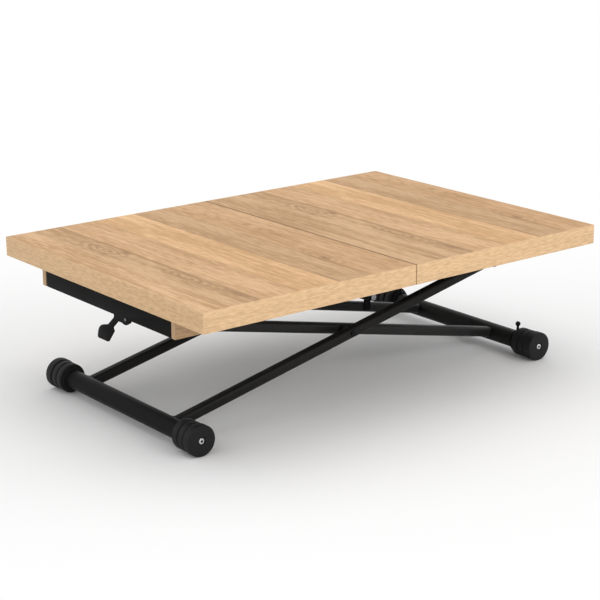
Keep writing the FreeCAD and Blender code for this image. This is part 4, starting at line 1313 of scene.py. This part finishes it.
@dataclass
class RunningGear(Assembly):
    """The four wheels, the two rollers and the two brakes."""

    bore: float = 0.00405
    collar_radius: float = 0.024
    collar_width: float = 0.003
    rib_width: float = 0.0165
    rib_radius: float = 0.0299
    rib_round: float = 0.0028
    groove_width: float = 0.002
    groove_radius: float = 0.0264
    groove_round: float = 0.0005
    ribs: int = 2
    face_round: float = 0.003
    recess_radius: float = 0.0075
    recess_depth: float = 0.005
    round_steps: int = 5
    ring_radius: float = 0.023
    ring_bore: float = 0.01905
    ring_width: float = 0.006
    ring_round: float = 0.0008
    stem_foot: float = 0.0040
    stem_shoulder: float = 0.0034
    stem_waist: float = 0.0026
    stem_neck: float = 0.00299
    stem_steps: int = 40
    waist_share: float = 0.45
    ball_radius: float = 0.0055
    ball_steps: int = 16

    def wheel_profile(self, radius: float, width: float) -> list[Corner]:
        """Draw half a wheel's section from the inner face outwards.

        Args:
            radius: The wheel's radius.
            width: Its width.

        Returns:
            The corners as radius and place along the axle.
        """
        corners = [Corner(self.bore, 0.0), Corner(self.collar_radius, 0.0, self.groove_round),
                   Corner(self.collar_radius, self.collar_width)]
        along = self.collar_width
        for _ in range(self.ribs):
            groove = along + self.rib_width
            corners += [Corner(self.rib_radius, place, self.rib_round) for place in (along, groove)]
            along = groove + self.groove_width
            corners += [Corner(self.groove_radius, place, self.groove_round) for place in (groove, along)]
        floor = width - self.recess_depth
        corners += [Corner(radius, along, self.rib_round), Corner(radius, width, self.face_round),
                    Corner(self.recess_radius, width, self.groove_round), Corner(self.recess_radius, floor),
                    Corner(self.bore, floor)]
        return corners

    def build_wheel(self, end: End, side: Side, body: str) -> None:
        """Turn a ribbed wheel with rounded ribs and a rounded face.

        Args:
            end: The end of the table.
            side: The side of the table.
            body: The body that it moves with.
        """
        node = "%s_wheel_%s" % (end.word, side.word)
        low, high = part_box(node)
        centre = (low + high) / 2
        inner_y = low.y if side is Side.FAR else high.y
        turn = Matrix.Rotation(-side.value * QUARTER_TURN, 4, "X")
        mesh = bmesh.new()
        profile = rounded_outline(self.wheel_profile((high.z - low.z) / 2, high.y - low.y), self.round_steps)
        lathe = Lathe(Matrix.Translation((centre.x, inner_y, centre.z)) @ turn)
        lathe.turn(mesh, [Ring(radius, along) for radius, along in profile], True)
        Fitting(node + "_turned", body, "black_plastic", (node,)).finish(mesh, self.finishes.plastic)

    def build_brake(self, side: Side) -> None:
        """Make a brake: a ring on the tube and a waisted stem with a ball on its end.

        Args:
            side: The side of the table.
        """
        node = "brake_lever_" + side.word
        low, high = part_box(node)
        centre = Vector(((low.x + high.x) / 2, (low.y + high.y) / 2, low.z + self.ring_radius))
        mesh = bmesh.new()
        half = self.ring_width / 2
        section = rounded_outline([
            Corner(self.ring_bore, -half), Corner(self.ring_radius, -half, self.ring_round),
            Corner(self.ring_radius, half, self.ring_round), Corner(self.ring_bore, half)], self.round_steps)
        across = Lathe(Matrix.Translation(centre) @ Matrix.Rotation(QUARTER_TURN, 4, "X"))
        across.turn(mesh, [Ring(radius, along) for radius, along in section], True)
        foot = (self.ring_bore + self.ring_radius) / 2
        ball = high.z - self.ball_radius - centre.z
        waist = self.ring_radius + (ball - self.ring_radius) * self.waist_share
        sweep = math.pi - math.asin(self.stem_neck / self.ball_radius)
        rings = [Ring(0.0, foot), Ring(self.stem_foot, foot), Ring(self.stem_shoulder, self.ring_radius),
                 Ring(self.stem_waist, waist)]
        for step in range(self.ball_steps):
            angle = sweep - sweep * step / self.ball_steps
            rings.append(Ring(self.ball_radius * math.sin(angle), ball + self.ball_radius * math.cos(angle)))
        rings.append(Ring(0.0, ball + self.ball_radius))
        Lathe(Matrix.Translation(centre), self.stem_steps).turn(mesh, rings, False)
        fitting = Fitting(node + "_turned", side.word + "_brake", "black_steel", (node,))
        fitting.finish(mesh, self.finishes.coat)

    def build(self) -> None:
        """Dress the rollers, and turn the wheels and the brakes."""
        dress(self.finishes.nylon, "roller_near", "roller_far")
        for side in Side:
            self.build_wheel(End.LEFT, side, "left_%s_wheel" % side.word)
            self.build_wheel(End.RIGHT, side, "braked_wheels")
            self.build_brake(side)


@dataclass
class ReleaseLever(Assembly):
    """The flat sheet lever behind the end plate: a round hub, an arm, a bent neck and a flared paddle."""

    hub: float = 0.0115
    hub_low: float = 0.0080
    step_at: float = 0.0155
    step_run: float = 0.0015
    elbow: float = 0.033
    arm_end: float = 0.047
    neck_width: float = 0.013
    neck_length: float = 0.028
    neck_back: float = 0.038
    neck_turn: float = math.radians(41.0)
    notch: float = 0.0052
    paddle_top: float = 0.054
    paddle_end: float = 0.039
    paddle_drop: float = 0.027
    paddle_shift: float = 0.022
    bend_round: float = 0.008
    corner_round: float = 0.004
    notch_round: float = 0.003
    shoulder_round: float = 0.024
    pivot: Pair = (-0.070, 0.229)
    round_steps: int = 14
    edge_round: float = 0.0006
    least_gap: float = 0.00003

    def corners(self) -> list[Corner]:
        """Draw the lever about its pivot.

        Returns:
            Its corners, as y, z and the round.
        """
        hub = self.hub
        along = (math.cos(self.neck_turn), -math.sin(self.neck_turn))
        across = (math.sin(self.neck_turn) * self.neck_width, math.cos(self.neck_turn) * self.neck_width)
        notch = (self.elbow + along[0] * self.neck_length, -hub + along[1] * self.neck_length)
        bulge = (notch[0] - self.notch, notch[1] - self.notch)
        tip = (bulge[0] + self.paddle_shift, bulge[1] - self.paddle_drop)
        back = (self.elbow + across[0], -hub + across[1])
        neck_end = (back[0] + along[0] * self.neck_back, back[1] + along[1] * self.neck_back)
        arm_z = back[1] - (self.arm_end - back[0]) * math.tan(self.neck_turn)
        return [
            Corner(-hub, hub, hub), Corner(-hub, -self.hub_low, self.hub_low),
            Corner(self.step_at, -self.hub_low), Corner(self.step_at + self.step_run, -hub),
            Corner(self.elbow, -hub, self.bend_round), Corner(*notch, self.notch_round),
            Corner(*bulge, self.notch_round), Corner(*tip, self.corner_round),
            Corner(tip[0] + self.paddle_end, tip[1], self.corner_round),
            Corner(bulge[0] + self.paddle_top, bulge[1], self.shoulder_round),
            Corner(*neck_end, self.bend_round), Corner(self.arm_end, arm_z, self.bend_round),
            Corner(self.arm_end, hub, self.corner_round),
        ]

    def build(self) -> None:
        """Cut the lever with smooth rounds and eased edges."""
        low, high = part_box("release_lever")
        outline: list[Pair] = []
        for y, z in rounded_outline(self.corners(), self.round_steps):
            spot = (self.pivot[0] + y, self.pivot[1] + z)
            if not outline or math.dist(spot, outline[-1]) > self.least_gap:
                outline.append(spot)
        mesh = bmesh.new()
        cut_sheet(mesh, outline, low.x, high.x)
        ease_edges(mesh, self.edge_round)
        fitting = Fitting("release_lever_cut", "lever", "black_steel", ("release_lever",))
        fitting.finish(mesh, self.finishes.matt_coat)


@dataclass
class GasSpring(Assembly):
    """The lockable gas spring."""

    def build(self) -> None:
        """Dress the spring."""
        dress(self.finishes.coat, "gas_cylinder")
        dress(self.finishes.plastic, "cylinder_guide", "release_head")
        dress(self.finishes.chrome, "gas_rod")


# Studio


@dataclass(frozen=True)
class Lamp:
    """A square soft lamp: its name, its place, what it points at, the length of its sides and its power."""

    name: str
    place: Point
    target: Point
    size: float
    watts: float

    def hang(self) -> None:
        """Hang the lamp."""
        data = bpy.data.lights.new(self.name, "AREA")
        data.size = self.size
        data.energy = self.watts
        lamp = bpy.data.objects.new(self.name, data)
        lamp.location = self.place
        lamp.rotation_euler = (Vector(self.target) - Vector(self.place)).to_track_quat("-Z", "Y").to_euler()
        bpy.context.scene.collection.objects.link(lamp)


@dataclass
class Studio:
    """A pale floor that fades to white, soft lamps, and the camera at the photographed angle."""

    camera_place: Point = (-2.1049, -2.6570, 1.162)
    camera_heading: float = 38.27
    camera_pitch: float = -16.45
    camera_roll: float = -0.356
    lens_mm: float = 101.24
    sensor_mm: float = 36.0
    floor_size: float = 40.0
    floor_tone: Colour = (0.95, 0.95, 0.95)
    floor_roughness: float = 0.9
    floor_specular: float = 0.1
    fade_behind: Pair = (0.05, 1.20)
    fade_before: Pair = (-0.45, -1.05)
    fade_round: Pair = (1.15, 2.10)
    world_level: float = 0.73
    lamps: tuple[Lamp, ...] = (
        Lamp("overhead", (0.2, 0.5, 2.9), (0.0, 0.0, 0.3), 3.1, 21.0),
        Lamp("front", (0.4, -3.4, 1.7), (0.0, 0.0, 0.25), 1.8, 30.5),
        Lamp("left", (-3.2, 0.4, 1.5), (0.0, 0.0, 0.25), 1.6, 8.2),
    )

    def build_camera(self) -> None:
        """Place the camera."""
        data = bpy.data.cameras.new("camera")
        data.sensor_width = self.sensor_mm
        data.lens = self.lens_mm
        camera = bpy.data.objects.new("camera", data)
        turn = (Matrix.Rotation(-math.radians(self.camera_heading), 4, "Z")
                @ Matrix.Rotation(math.radians(90.0 + self.camera_pitch), 4, "X")
                @ Matrix.Rotation(math.radians(self.camera_roll), 4, "Z"))
        camera.matrix_world = Matrix.Translation(self.camera_place) @ turn
        bpy.context.scene.collection.objects.link(camera)
        bpy.context.scene.camera = camera

    def seen_directly(self, sheet: NodeSheet) -> Socket:
        """Tell rays that see a surface straight, in a mirror or through glass from rays that light it.

        Args:
            sheet: The node tree that asks.

        Returns:
            A socket that is 1 for such a ray.
        """
        path = sheet.add("ShaderNodeLightPath")
        found = path.outputs["Is Camera Ray"]
        for name in ("Is Glossy Ray", "Is Transmission Ray"):
            found = sheet.math("MAXIMUM", found, path.outputs[name])
        return found

    def build_world(self) -> None:
        """Light from all round at a plain level, seen as white."""
        world = bpy.data.worlds.new("studio")
        world.use_nodes = True
        sheet = NodeSheet(world.node_tree)
        seen = self.seen_directly(sheet)
        level = sheet.out("ShaderNodeMapRange", Value=seen, To_Min=self.world_level, To_Max=1.0)
        sheet.fill(sheet.tree.nodes["Background"], Color=(1.0, 1.0, 1.0, 1.0), Strength=level)
        bpy.context.scene.world = world

    def build_floor(self) -> None:
        """Lay the floor: it keeps the shadow near the table and fades to white away from it."""
        half = self.floor_size / 2
        data = bpy.data.meshes.new("floor")
        corners = [(-half, -half, 0), (half, -half, 0), (half, half, 0), (-half, half, 0)]
        data.from_pydata(corners, [], [(0, 1, 2, 3)])
        floor = bpy.data.objects.new("floor", data)
        bpy.context.scene.collection.objects.link(floor)
        sheet = MaterialSheet("studio_floor")
        sheet.fill(sheet.surface, Base_Color=(*self.floor_tone, 1.0), Roughness=self.floor_roughness,
                   Specular_IOR_Level=self.floor_specular)
        x, y, _ = sheet.parts(sheet.place)
        heading = math.radians(self.camera_heading)
        depth = sheet.math("MULTIPLY_ADD", x, math.sin(heading), sheet.math("MULTIPLY", y, math.cos(heading)))
        fade = sheet.span(sheet.length(x, y), self.fade_round)
        for ends in (self.fade_behind, self.fade_before):
            fade = sheet.math("MAXIMUM", fade, sheet.span(depth, ends))
        share = sheet.math("MULTIPLY", fade, self.seen_directly(sheet))
        join = sheet.add("ShaderNodeMixShader")
        white = sheet.out("ShaderNodeEmission")
        for value, target in zip((share, sheet.surface.outputs[0], white), join.inputs):
            sheet.put(value, target)
        sheet.put(join.outputs[0], sheet.output.inputs[0])
        data.materials.append(sheet.material)

    def build(self) -> None:
        """Set up the floor, the light and the camera."""
        bpy.context.scene.view_settings.view_transform = "Standard"
        self.build_camera()
        self.build_world()
        self.build_floor()
        for lamp in self.lamps:
            lamp.hang()


def main() -> None:
    """Build and dress the table, then set up the studio round it."""
    logging.basicConfig(level=logging.INFO, format="%(message)s")
    finishes = Finishes()
    assemblies = [TopHalf(finishes, end) for end in End]
    assemblies += [kind(finishes) for kind in (LiftBox, LegFrames, RunningGear, ReleaseLever, GasSpring)]
    for assembly in assemblies:
        assembly.build()
    Studio().build()


if __name__ == "__main__":
    main()
